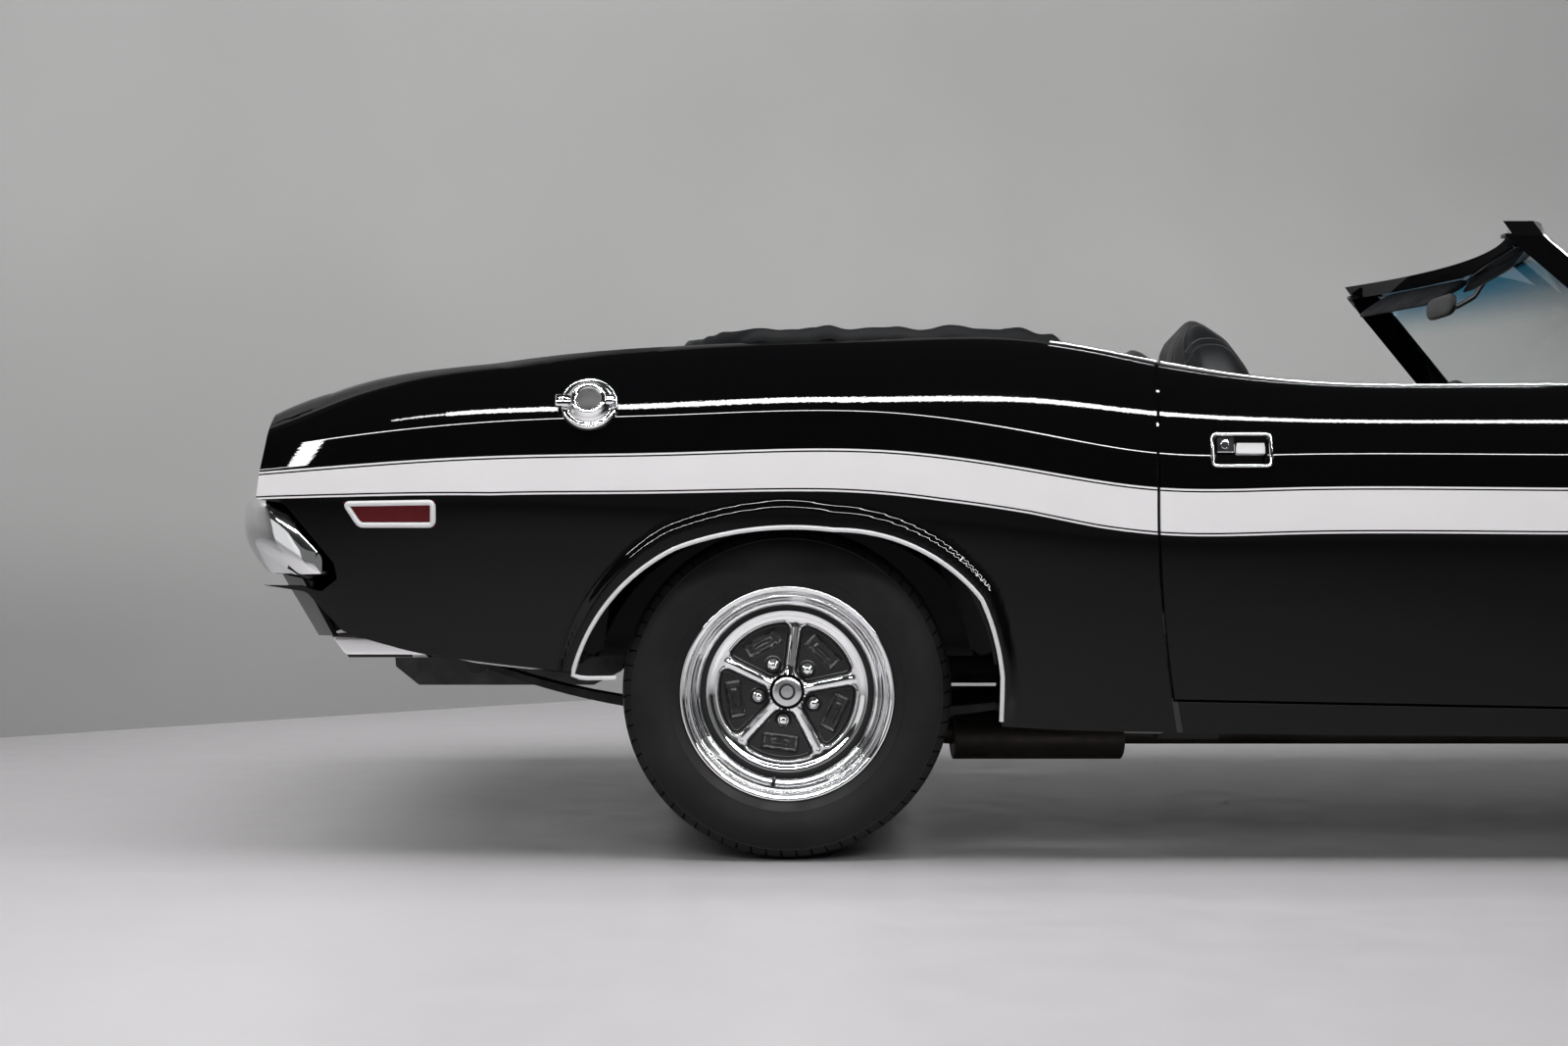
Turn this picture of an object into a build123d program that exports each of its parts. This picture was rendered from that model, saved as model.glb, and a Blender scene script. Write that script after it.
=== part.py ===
from build123d import *
import math
import os

# A two-door convertible muscle car with its top folded under a vinyl boot.
# Millimetres. +X is forward, +Y is the car's left, +Z is up.
# The origin is on the ground, under the middle of the overall length and width.
# "Out" is the distance from the centre line, the same on both sides.

RIGHT, LEFT = -1, 1

# ---- Driving dimensions ----
overall_length = 4860
half_width = 966
wheelbase = 2794
rear_overhang = 1130
rear_track = 1542
front_track = 1516
wheel_radius = 323
tyre_width = 236
rim_bead_radius = 190
rim_flange_radius = 208
rim_width = 184
spoke_count = 5
spoke_turn = 10.4        # the first spoke's angle above straight forward

sill_z = 240            # underside of the body at the doors
crease_z = 719          # the sharp line along the doors
belt_z = 920            # top of the doors
panel = 24              # depth of a fender or quarter panel with its flanges
shut_gap = 6            # gap round doors, hood and deck lid
seat_gap = 0.3          # gap between a soft piece and what carries it
door_depth = 176        # outer skin to inner trim
door_front_x = 750
door_rear_x = -601
door_open_deg = 68

tail_x = -overall_length / 2
nose_x = overall_length / 2
rear_x = tail_x + rear_overhang
front_x = rear_x + wheelbase
cowl_x = 830            # rear edge of the hood
hood_front_x = nose_x - 140
lid_gap = 7.5           # gap at the hinged edges of the hood and deck lid
deck_front_x = rear_x - 265
deck_rear_x = tail_x + 126
deck_half = 632         # half the deck lid's width
hood_half = 692
cowl_half = 738

# Body side sections from tail to nose. "in" is measured in from half_width.
# x, low in, low z, crease in, crease z, shoulder in, shoulder rise, ridge in, ridge z, top in, top drop
side_table = [
    (tail_x + 90, 116, sill_z + 285, 92, crease_z + 29, 112, 52, 186, belt_z - 80, 326, 6),
    (tail_x + 240, 92, sill_z + 210, 62, crease_z + 40, 80, 58, 170, belt_z - 12, 326, 8),
    (rear_x - 575, 62, sill_z + 137, 24, crease_z + 59, 44, 70, 152, belt_z + 43, 326, 8),
    (rear_x - 210, 42, sill_z + 100, 4, crease_z + 66, 24, 76, 146, belt_z + 77, 326, 8),
    (rear_x + 200, 40, sill_z + 40, 0, crease_z + 69, 20, 76, 138, belt_z + 90, 290, 8),
    (rear_x + 460, 41, sill_z + 14, 4, crease_z + 35, 24, 72, 132, belt_z + 89, 230, 8),
    (rear_x + 700, 43, sill_z + 6, 9, crease_z, 27, 64, 128, belt_z + 48, 186, 8),
    (rear_x + 950, 45, sill_z + 2, 11, crease_z, 29, 61, 124, belt_z + 9, 186, 8),
    (front_x - 1400, 46, sill_z - 2, 12, crease_z, 30, 61, 121, belt_z - 1, 266, 8),
    (front_x - 600, 46, sill_z - 4, 12, crease_z, 30, 60, 119, belt_z - 12, 266, 8),
    (front_x, 50, sill_z + 10, 8, crease_z - 2, 28, 58, 118, belt_z - 28, 266, 8),
    (front_x + 500, 72, sill_z + 70, 34, crease_z - 10, 54, 52, 140, belt_z - 60, 266, 8),
    (nose_x - 90, 112, sill_z + 200, 84, crease_z - 26, 104, 42, 180, belt_z - 100, 266, 8),
]


def outline(points):
    """Closed wire through points; a point marked "arc" is the middle of a bend to the next one."""
    edges = []
    here = points[0]
    i = 1
    while i < len(points):
        if len(points[i]) == 4:
            edges.append(ThreePointArc(here, points[i][:3], points[i + 1]))
            here = points[i + 1]
            i += 2
        else:
            edges.append(Line(here, points[i]))
            here = points[i]
            i += 1
    if here != points[0]:
        edges.append(Line(here, points[0]))
    return Wire(edges)


def lift(points, axis, value):
    """Places (a, b) or (a, b, "arc") points on a plane across X, Y or Z."""
    placed = []
    for a, b, *arc in points:
        xyz = {"X": (value, a, b), "Y": (a, value, b), "Z": (a, b, value)}[axis]
        placed.append(xyz + tuple(arc))
    return placed


def slab(points, axis, low, high):
    """Solid with the given outline, from low to high along an axis."""
    direction = {"X": (1, 0, 0), "Y": (0, 1, 0), "Z": (0, 0, 1)}[axis]
    face = Face(outline(lift(points, axis, low)))
    return extrude(face, amount=high - low, dir=direction)


def span(x0, x1, y0, y1, z0, z1):
    """Box between two corners."""
    return Pos((x0 + x1) / 2, (y0 + y1) / 2, (z0 + z1) / 2) * Box(x1 - x0, y1 - y0, z1 - z0)


def both(shape):
    """The right-hand piece and its mirror image on the left."""
    return [shape, mirror(shape, about=Plane.XZ)]


def spin_y(points):
    """Solid of revolution about Y from (y, r) points."""
    face = Face(outline([(r, y, 0) for y, r in points]))
    return revolve(face, axis=Axis.Y)


# ---- Body sides ----

def side_section(row, inner_out=None):
    """Right-hand section of the body side: a bent sheet, or filled in to inner_out."""
    x, low_in, low_z, crease_in, cz, sh_in, sh_rise, ridge_in, rz, top_in, top_drop = row
    low, crease, sh, ridge, top = (half_width - v for v in (low_in, crease_in, sh_in, ridge_in, top_in))
    sz = cz + sh_rise
    flange = 60
    swell, round_off = 2, 14
    mid = (0.35 * low + 0.65 * crease + swell, (low_z + cz) / 2)
    brow = ((sh + ridge) / 2 + round_off, (sz + rz) / 2 + round_off)
    outer = [(low, low_z + 8), mid + ("arc",), (crease, cz), (sh, sz), brow + ("arc",), (ridge, rz)]
    if inner_out is None:
        t = panel
        chain = [(low - flange, low_z)] + outer + [
            (top, rz - top_drop), (top, rz - top_drop - t), (ridge - 0.6 * t, rz - t),
            (brow[0] - 0.8 * t, brow[1] - 0.6 * t, "arc"), (sh - t, sz), (crease - t, cz),
            (mid[0] - t, mid[1], "arc"), (low - t, low_z + 8 + t), (low - flange, low_z + t)]
    else:
        chain = [(inner_out, low_z)] + outer + [(inner_out, rz - top_drop)]
    return Face(outline([(x, -p[0], p[1]) + tuple(p[2:]) for p in chain]))


sheet_side = loft([side_section(row) for row in side_table])
door_inner_out = half_width - door_depth
solid_side = loft([side_section(row, door_inner_out) for row in side_table])
post_out = half_width - 276
post_side = loft([side_section(row, post_out) for row in side_table])

side_y = (-half_width - 40, -500)
inside_side = solid_side - sheet_side
middle_space = span(tail_x, nose_x, -door_inner_out, door_inner_out, 0, 1400) - sheet_side
middle_space -= mirror(sheet_side, about=Plane.XZ)


def fit_inside(block):
    """Trims a block to the space between the two side skins."""
    return (block & middle_space) + (block & inside_side) + (block & mirror(inside_side, about=Plane.XZ))


door_bottom_rear_z = 318
door_bottom_front_z = 292


def door_cutter(grow):
    """Door outline through the body side. The rear face leans, so that its inner corner clears."""
    faces = []
    lean = 32
    for y, shift in ((-half_width - 34, 0), (-half_width + door_depth + 20, lean)):
        rear = door_rear_x - grow + shift
        points = [(rear + 27, belt_z + 140), (rear, belt_z - 280, "arc"), (rear + 31, door_bottom_rear_z - grow),
                  (door_front_x + grow, door_bottom_front_z - grow), (door_front_x + grow, belt_z + 140)]
        faces.append(Face(outline(lift(points, "Y", y))))
    return loft(faces, ruled=True)


door_hole = door_cutter(shut_gap)
door_hinge = (door_front_x - 90, half_width - 25)
door_hinge_zs = (610, 705)
mirror_at = (560, 900, belt_z + 56)
mirror_radius = 50


def rear_arch(extra=0):
    """Opening for the rear wheel: flat on top, a long sweep behind and a short one in front."""
    e = extra
    return [(rear_x - 415 - e, sill_z - 60), (rear_x - 411 - e, 356),
            (rear_x - 331 - e, 512 + e, "arc"), (rear_x - 210, 605 + e),
            (rear_x - 70, 639 + e, "arc"), (rear_x + 88, 639 + e),
            (rear_x + 258 + e, 598 + e, "arc"), (rear_x + 367 + e, 509),
            (rear_x + 398 + e, 420, "arc"), (rear_x + 408 + e, 270), (rear_x + 410 + e, sill_z - 60)]


def front_arch(extra=0):
    """Opening for the steered wheel, rounder and a little larger."""
    e = extra
    d = 0.7 * e
    return [(front_x - 416 - e, sill_z - 60), (front_x - 414 - e, 330), (front_x - 330 - d, 533 + d, "arc"),
            (front_x - 120, 648 + e), (front_x, 657 + e, "arc"), (front_x + 120, 648 + e),
            (front_x + 330 + d, 536 + d, "arc"), (front_x + 414 + e, 340), (front_x + 416 + e, sill_z - 60)]


lip_width = 12
lip_rise = 6


def arch_lip(outer, inner):
    """Raised edge along a wheel opening, between two outlines."""
    band = slab(outer, "Y", *side_y) - slab(inner, "Y", *side_y)
    band &= span(tail_x, nose_x, *side_y, 330, 800)
    return Pos(0, -lip_rise, 0) * sheet_side & band


wheelhouse_radius = wheel_radius + 76
wheelhouse_out = rear_track / 2 - tyre_width / 2 - 13   # inner wall
wheelhouse_wall = 12


def quarter_panel():
    """Rear quarter with the lock post, the wheelhouse and the notch that takes the bumper's end."""
    quarter = sheet_side & span(tail_x, door_rear_x + 60, *side_y, 0, 1200)
    post_rear_x = rear_x + 420
    post = post_side & span(post_rear_x, door_rear_x + 60, *side_y, 0, belt_z - 30)
    quarter = quarter + post - door_hole
    quarter -= span(door_rear_x + 20, door_rear_x + 100, *side_y, 0, 1200)
    quarter -= slab(rear_arch(), "Y", *side_y)
    quarter += arch_lip(rear_arch(lip_width), rear_arch())
    # Wheelhouse: half a drum over the tyre, closed on its inner side.
    z = wheel_radius
    drum_out = half_width - 8
    drum = Pos(rear_x, -(drum_out + wheelhouse_out) / 2, z) * Rot(90, 0, 0) * Cylinder(
        wheelhouse_radius + wheelhouse_wall, drum_out - wheelhouse_out)
    hollow = Pos(rear_x, -(drum_out + wheelhouse_out + wheelhouse_wall) / 2, z) * Rot(90, 0, 0) * Cylinder(
        wheelhouse_radius, drum_out - wheelhouse_out - wheelhouse_wall)
    upper = span(rear_x - 500, rear_x + 500, -half_width, -500, z + 60, 1000)
    shell = (drum - hollow) & upper
    # The drum's outer rim leans with the side, so that it ends inside the skin.
    quarter += shell & slab([(-500, 300), (-918, 300), (-952, 745), (-500, 745)], "X", rear_x - 500, rear_x + 500)
    quarter -= cap_place(Pos(0, 29.8, 0) * Rot(90, 0, 0) * Cylinder(cap_radius + 14, 60))
    # Tail cut, leaning forward towards the top, then the bumper notch.
    quarter -= slab([(tail_x + 130, 1100), (tail_x + 130, belt_z - 66), (tail_x + 108, crease_z - 20),
                     (tail_x + 165, crease_z - 30), (tail_x + 262, 575), (tail_x + 268, 545),
                     (tail_x + 235, 520), (tail_x + 190, 532), (tail_x - 60, 532), (tail_x - 60, 1100)], "Y", *side_y)
    quarter -= slab([(tail_x + 60, 540), (tail_x + 205, 520), (tail_x + 290, 428), (tail_x + 290, 300),
                     (tail_x + 60, 300)], "Y", *side_y)
    return quarter


def front_fender():
    """Front fender from the nose to the door, with the wheel opening."""
    fender = sheet_side & span(door_front_x + shut_gap, nose_x, *side_y, 0, 1200)
    fender -= slab(front_arch(), "Y", *side_y)
    fender += arch_lip(front_arch(lip_width), front_arch())
    # Straight inner edges beside the hood and the cowl.
    fender -= span(cowl_x - lid_gap, nose_x, -hood_half - shut_gap, 0, 700, 1000)
    fender -= span(door_front_x, cowl_x - lid_gap, -cowl_half - shut_gap, 0, 700, 1000)
    # The tip leans forward to the crease and is cut back under the lamp.
    fender -= slab([(nose_x - 150, 900), (nose_x - 88, 810), (nose_x - 30, 700), (nose_x + 50, 700),
                    (nose_x + 50, 900)], "Y", *side_y)
    fender -= slab([(nose_x - 60, 600), (nose_x - 165, 540), (nose_x - 165, 300), (nose_x + 50, 300),
                    (nose_x + 50, 600)], "Y", *side_y)
    return fender


def rocker_panels():
    """Box sills under the doors, with the jacking pads."""
    rocker = solid_side & span(door_rear_x + 20, door_front_x + shut_gap, *side_y, 0, door_bottom_rear_z)
    return both(rocker - door_hole)


def door():
    """Door shell as thick as the whole door, with its recessed pull handle."""
    shell = solid_side & door_cutter(0)
    # Recess and flap of the outside handle.
    handle_x, handle_z = door_rear_x + 163, belt_z - 130
    shell -= span(handle_x - 50, handle_x + 50, -half_width - 20, -half_width + 52, handle_z - 27, handle_z + 27)
    shell += span(handle_x - 12, handle_x + 50, -half_width + 38, -half_width + 52, handle_z - 4, handle_z + 27)
    # Map-pocket hollow and armrest on the inner side.
    inner_y = -door_inner_out
    shell -= span(door_rear_x + 160, door_front_x - 160, inner_y - 30, inner_y + 5, 380, 560)
    armrest = span(door_rear_x + 260, door_front_x - 420, inner_y - 2, inner_y + 45, 590, 640)
    # Round mirror on its foot, standing on the door's front upper corner.
    x, out, z = mirror_at
    head = Pos(x, -out, z) * Rot(0, 90, 0) * Cone(mirror_radius, mirror_radius - 22, 46)
    foot = slab([(x - 34, belt_z - 30), (x - 12, z - 30), (x + 14, z - 30), (x + 30, belt_z - 30)], "Y",
                -out + 14, -out + 38)
    leaf = shell + armrest + foot + head
    x, hinge_out = door_hinge
    for z in door_hinge_zs:
        pocket = [(x - 9, -hinge_out - 9), (door_front_x + 10, -hinge_out - 9), (door_front_x + 10, inner_y + 10),
                  (x - 9, inner_y + 10)]
        leaf -= slab(pocket, "Z", z - 14, z + 14)
        leaf += Pos(x, -hinge_out, z) * Cylinder(pin_radius, 40)
    return leaf


# ---- Lids and nose ----

def crowned(row, thickness):
    """Section across the car: x, half width, edge z, centre rise."""
    x, half, edge_z, rise = row
    return Face(outline([(x, -half, edge_z), (x, 0, edge_z + rise, "arc"), (x, half, edge_z),
                         (x, half, edge_z - thickness), (x, 0, edge_z + rise - thickness, "arc"),
                         (x, -half, edge_z - thickness)]))


pin_radius = 3
eye_radius = 6
pin_play = 0.3
# x and z of the hinge axis, and how far out the two hinges are
hood_hinge = (cowl_x + 160, belt_z - 27, 560)
deck_hinge = (deck_front_x - 110, belt_z + 58, 250)
hinge_width = 14


def lid_leaves(hinge, base_z):
    """Fixed halves of a lid's two hinges: upright straps with an eye round the pin."""
    x, z, out = hinge
    leaves = []
    for y in (-out, out):
        eye = Pos(x, y, z) * Rot(90, 0, 0) * Cylinder(eye_radius, hinge_width)
        strap = span(x - 5, x + 5, y - hinge_width / 2, y + hinge_width / 2, base_z, z)
        leaves.append(eye + strap - Pos(x, y, z) * Rot(90, 0, 0) * Cylinder(pin_radius + pin_play, hinge_width + 2))
    return leaves


def lid_pins(lid, hinge, forward):
    """Cuts the two hinge pockets into a lid and adds their pins. The pocket runs to the edge's side."""
    x, z, out = hinge
    for y in (-out, out):
        x0, x1 = sorted((x - forward * 11, x + forward * 60))
        lid -= span(x0, x1, y - hinge_width / 2 - 2, y + hinge_width / 2 + 2, z - 60, z + eye_radius + 2)
        lid += Pos(x, y, z) * Rot(90, 0, 0) * Cylinder(pin_radius, hinge_width + 12)
    return lid


hood_thick = 26
hood_table = [
    (cowl_x, hood_half, belt_z - 21, 22),
    (front_x - 200, hood_half, belt_z - 29, 26),
    (front_x + 300, hood_half, belt_z - 53, 28),
    (hood_front_x, hood_half, belt_z - 104, 22),
]


def hood():
    """Hood with a raised centre panel and two forward-facing scoops."""
    lid = loft([crowned(row, hood_thick) for row in hood_table])
    bulge_half = 300
    bulge_rise = 34
    sections = []
    for x, half, z, up in ((cowl_x + 30, bulge_half, belt_z - 22, 26),
                           (front_x - 100, bulge_half, belt_z - 30, 34 + bulge_rise),
                           (front_x + 170, bulge_half - 10, belt_z - 44, 34 + bulge_rise)):
        top = half - 40
        sections.append(Face(outline([(x, -half, z - 10), (x, -top, z + up), (x, top, z + up), (x, half, z - 10)])))
    bulge = loft(sections, ruled=True)
    mouth_x = front_x + 170
    for y in (-bulge_half + 60, bulge_half - 210):
        bulge -= span(mouth_x - 70, mouth_x + 1, y, y + 150, belt_z - 12, belt_z + 16)
    return lid_pins(lid + bulge, hood_hinge, -1)


def deck_lid():
    """Deck lid, crowned across and falling towards the tail."""
    rows = [
        (deck_front_x, deck_half, belt_z + 64, 16),
        ((deck_front_x + deck_rear_x) / 2, deck_half, belt_z + 34, 18),
        (deck_rear_x + 120, deck_half, belt_z - 12, 16),
        (deck_rear_x, deck_half, belt_z - 68, 8),
    ]
    return lid_pins(loft([crowned(row, 26) for row in rows]), deck_hinge, 1)


grille_half = 800
grille_low_z = 552
grille_top_z = 722


def stadium(half, low, high, radius):
    """Oval outline in (y, z) with round ends."""
    r = radius
    k = r * (1 - math.sqrt(0.5))
    return [(-half + r, low), (half - r, low), (half - k, low + k, "arc"), (half, low + r), (half, high - r),
            (half - k, high - k, "arc"), (half - r, high), (-half + r, high), (-half + k, high - k, "arc"),
            (-half, high - r), (-half, low + r), (-half + k, low + k, "arc"), (-half + r, low)]


def nose_panel():
    """Painted surround of the grille, bowed in plan, with a leaning brow."""
    half = half_width - 112
    top_z = belt_z - 112
    ring = slab(stadium(half + 60, grille_low_z - 30, top_z, 40), "X", nose_x - 134, nose_x - 15)
    ring -= slab(stadium(grille_half, grille_low_z, grille_top_z, 70), "X", nose_x - 300, nose_x + 20)
    bow = slab([(nose_x - 300, -half - 70), (nose_x - 96, -half - 70), (nose_x - 22, 0, "arc"),
                (nose_x - 96, half + 70), (nose_x - 300, half + 70)], "Z", 300, 1000)
    ring = fit_inside(ring & bow)
    ring -= slab([(nose_x - 134, top_z + 1), (nose_x - 60, top_z - 26), (nose_x - 10, top_z - 70),
                  (nose_x + 30, top_z - 70), (nose_x + 30, 1000), (nose_x - 134, 1000)], "Y", -1000, 1000)
    return ring


lamp_radius = 73
lamp_outs = (548, 716)
lamp_z = (grille_low_z + grille_top_z) / 2
grille_x = nose_x - 134 - seat_gap      # front of the backing plate, behind the surround


def grille():
    """Recessed lattice behind the surround, with openings for the lamps."""
    inner = slab(stadium(grille_half + 20, grille_low_z - 14, grille_top_z + 14, 84), "X", grille_x - 10, grille_x)
    frame_bar = slab(stadium(430, grille_low_z + 22, grille_top_z - 22, 20), "X", grille_x, grille_x + 22)
    frame_bar -= slab(stadium(420, grille_low_z + 32, grille_top_z - 32, 14), "X", grille_x, grille_x + 22)
    lattice = inner + frame_bar
    for i in range(1, 5):
        z = grille_low_z + 22 + i * (grille_top_z - grille_low_z - 44) / 5
        lattice += span(grille_x - 2, grille_x + 12, -424, 424, z - 2, z + 2)
    for i in range(-3, 4):
        lattice += span(grille_x - 2, grille_x + 10, i * 105 - 3, i * 105 + 3, grille_low_z + 26, grille_top_z - 26)
    return lattice


def headlamps():
    """Four round lamps in two pairs, each a bezel with a shallow lens."""
    lamps = []
    for out in lamp_outs:
        for side in (RIGHT, LEFT):
            lamp = spin_y([(0, 0), (0, lamp_radius + 8), (26, lamp_radius + 6), (20, lamp_radius - 4), (30, 30),
                           (30, 0)])
            lamps.append(Pos(grille_x + 0.2, side * out, lamp_z) * Rot(0, 0, -90) * lamp)
    return lamps


def bumper_bar(rows, profile):
    """Lofts a bumper across the car. rows: out, x of the face, then the profile scaled by depth."""
    sections = []
    for y, x, depth, low, high in rows:
        sections.append(Face(outline([(x + dx * depth, y, low + f * (high - low)) for dx, f in profile])))
    return loft(sections, ruled=True)


bumper_low_z = 553
bumper_high_z = 699
tail_base_z = bumper_low_z - 2
tail_low_z = bumper_high_z + 8


def mirrored_rows(rows):
    """Rows for one side, repeated across the centre line."""
    return [(-y, *rest) for y, *rest in rows[:0:-1]] + [tuple(r) for r in rows]


def rear_bumper():
    """Chrome blade that wraps round the tail, its ends cut to a wedge."""
    rows = mirrored_rows([
        (0, tail_x, 62, bumper_low_z, bumper_high_z),
        (460, tail_x + 14, 62, bumper_low_z, bumper_high_z),
        (730, tail_x + 48, 62, bumper_low_z, bumper_high_z),
        (835, tail_x + 92, 80, bumper_low_z, bumper_high_z - 2),
        (880, tail_x + 150, 46, bumper_low_z, bumper_high_z - 44),
        (897, tail_x + 205, 34, bumper_low_z + 2, bumper_low_z + 44),
    ])
    profile = [(1, 0), (0.9, 0), (0.1, 0.4), (0, 0.65), (0.04, 0.92), (0.25, 1), (1, 0.92)]
    blade = bumper_bar(rows, profile)
    for side in (RIGHT, LEFT):
        blade += span(tail_x + 50, tail_x + 112 - seat_gap, side * 400 - 30, side * 400 + 30, 600, 660)
    return blade


def front_bumper():
    """Chrome blade under the grille, bowed and wrapped round the fenders."""
    low, high = 424, grille_low_z - 30 - seat_gap
    rows = mirrored_rows([
        (0, nose_x, -58, low, high),
        (500, nose_x - 18, -58, low, high),
        (760, nose_x - 54, -58, low, high),
        (860, nose_x - 92, -50, low, high),
        (904, nose_x - 128, -30, low + 4, high - 8),
    ])
    profile = [(1, 0), (0.3, 0), (0, 0.3), (0, 0.7), (0.3, 1), (1, 1)]
    return bumper_bar(rows, profile)


def front_valance():
    """Painted apron under the front bumper with two air slots."""
    rows = mirrored_rows([
        (0, nose_x - 40, -14, 290, 424 - seat_gap),
        (600, nose_x - 66, -14, 290, 424 - seat_gap),
        (830, nose_x - 130, -14, 290, 424 - seat_gap),
    ])
    profile = [(8, 0), (7, 0), (0, 1), (1, 1)]
    apron = bumper_bar(rows, profile)
    for side in (RIGHT, LEFT):
        apron -= span(nose_x - 260, nose_x, side * 380 - 160, side * 380 + 160, 330, 372)
    return apron


def rear_valance():
    """Painted apron under the rear bumper, with the number-plate bracket."""
    rows = mirrored_rows([
        (0, tail_x + 113, 12, 430, tail_base_z),
        (500, tail_x + 116, 12, 430, tail_base_z),
        (760, tail_x + 132, 12, 430, tail_base_z),
        (846, tail_x + 190, 10, 434, tail_base_z - 6),
    ])
    profile = [(7, 0), (6, 0), (0, 1), (1, 1)]
    apron = bumper_bar(rows, profile)
    x0, x1 = plate_face_x, plate_face_x + 4
    bracket = span(x0, x1, -plate_half, plate_half, plate_z - 30, plate_z + 22)
    bracket += span(x1 - 1, tail_x + 150, -30, 30, plate_z - 26, plate_z - 4)
    for y in (-plate_hole_out, plate_hole_out):
        bracket -= Pos(x0, y, plate_z) * Rot(0, 90, 0) * Cylinder(plate_hole_radius, 40)
    return apron + bracket


plate_face_x = tail_x + 84
plate_z = tail_base_z - 32
plate_half = 152
plate_hole_out = 88.9
plate_hole_radius = 3.5


def valances():
    """Aprons under both bumpers."""
    return [front_valance(), rear_valance()]


def tail_panel():
    """Tail panel between the quarters, with the long recess for the lamps."""
    lean = [(tail_x + 112, tail_base_z), (tail_x + 112, tail_low_z), (tail_x + 132, tail_top_z),
            (tail_x + 162, tail_top_z), (tail_x + 162, tail_base_z)]
    panel_block = fit_inside(slab(lean, "Y", -half_width, half_width))
    for side in (RIGHT, LEFT):
        panel_block -= span(tail_x + 100, tail_x + 170, side * 845 - 120, side * 845 + 120, 500, tail_low_z - 2)
    recess = slab(stadium(lamp_recess_half, tail_low_z + 14, tail_top_z - 12, 20), "X", tail_x, tail_x + 146)
    return panel_block - recess


tail_top_z = belt_z - 102
lamp_recess_half = 752


def tail_lamps():
    """Two long lamps and the clear reversing lamp between them."""
    lamps = []
    for y0, y1 in ((-lamp_recess_half + 6, -98), (-90, 90), (98, lamp_recess_half - 6)):
        lamps.append(span(tail_x + 130, tail_x + 146, y0, y1, tail_low_z + 20, tail_top_z - 18))
    return lamps


marker_tail = (tail_x + 373, 670)


def side_markers():
    """Lamps let into the flanks: red ones behind, with a cut corner, and amber ones in front."""
    lamps = []
    x0, z0 = marker_tail
    long_side = [(x0 - 92, z0 + 22), (x0 + 88, z0 + 25), (x0 + 88, z0 - 26), (x0 - 60, z0 - 26)]
    x1 = nose_x - 330
    front_side = [(x1 - 75, z0 - 46), (x1 + 75, z0 - 46), (x1 + 75, z0 - 84), (x1 - 75, z0 - 84)]
    for corners in (long_side, front_side):
        block = slab(corners, "Y", -half_width - 20, -half_width + 160)
        skin = sheet_side
        raised = Pos(0, -3, 0) * skin
        lamps += both((raised & block) - skin)
    return lamps


# ---- Cabin ----

glass_base_z = 906
glass_top_z = 1238
glass_rows = [   # z, corner x, centre x, half width
    (glass_base_z, 548, 792, 736),
    ((glass_base_z + glass_top_z) / 2, 388, 585, 664),
    (glass_top_z, 228, 366, 592),
]


def glass_section(row, forward, back):
    """Curved strip at one height, from forward to back of the glass line."""
    z, corner_x, centre_x, half = row
    return Face(outline([(corner_x + forward, -half, z), (centre_x + forward, 0, z, "arc"), (corner_x + forward, half, z),
                         (corner_x - back, half, z), (centre_x - back, 0, z, "arc"), (corner_x - back, -half, z)]))


def windshield_glass():
    """Laminated glass, curved across and raked."""
    rows = list(glass_rows)
    return loft([glass_section(row, 3, 3) for row in rows])


def windshield_frame():
    """Pillars and header that carry the glass."""
    pillars = []
    base, top = glass_rows[0], glass_rows[-1]
    rails = []
    for z, corner_x, centre_x, half in (base, top):
        o, i = half + 34, half + seat_gap
        rails.append(Face(outline([(corner_x - 62, -o, z), (corner_x + 14, -o, z), (corner_x + 18, -i, z),
                                   (corner_x - 40, -i, z)])))
    pillar = loft(rails, ruled=True)
    z, corner_x, centre_x, half = top
    header_z = (z + 0.3, z + 30)
    sections = [glass_section((h, corner_x + dx, centre_x + dx, half + 34), 16, 46)
                for h, dx in ((header_z[0], 0), (header_z[1], -22))]
    header = loft(sections, ruled=True)
    corner = span(corner_x - 62, corner_x + 10, -half - 33, -half - 3, z - 2, z + 5)
    return header + both(pillar + corner)


def cowl_firewall():
    """Firewall, cowl top under the glass and the two hinge posts."""
    thickness = 12
    wall_x = cowl_x - 20
    wall = span(wall_x, wall_x + thickness, -640, 640, 245, 868) - slab(tunnel_section(12, -12), "X", 700, 900)
    top_z = glass_base_z - seat_gap
    rear_x1 = cowl_x - lid_gap
    cowl = slab([(548, -cowl_half), (792, 0, "arc"), (548, cowl_half), (rear_x1, cowl_half), (rear_x1, -cowl_half)],
                "Z", 866, top_z)
    post_x0 = door_front_x + shut_gap
    skin_part = inside_side & span(post_x0, wall_x + thickness, *side_y, sill_z + 30, 1000)
    inner_part = span(post_x0, wall_x + thickness, -door_inner_out, -640, sill_z + 30, 868)
    corner = span(480, rear_x1, -757, -690, 866, top_z) - sheet_side
    post = skin_part + inner_part + corner
    # Door hinges: straps that reach into the door from inside, each with an eye round the pin.
    x, out = door_hinge
    strap_out = out - 182
    straps = span(x - 6, post_x0 + 4, -strap_out, -strap_out + 26, door_hinge_zs[0] - 12, door_hinge_zs[-1] + 12)
    for z in door_hinge_zs:
        straps += span(x - 6, x + 6, -out, -strap_out + 14, z - 12, z + 12)
        straps += Pos(x, -out, z) * Cylinder(eye_radius + 1, 24)
        straps -= Pos(x, -out, z) * Cylinder(pin_radius + pin_play, 30)
    return wall + cowl + both(post + straps)


floor_z = 256


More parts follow.
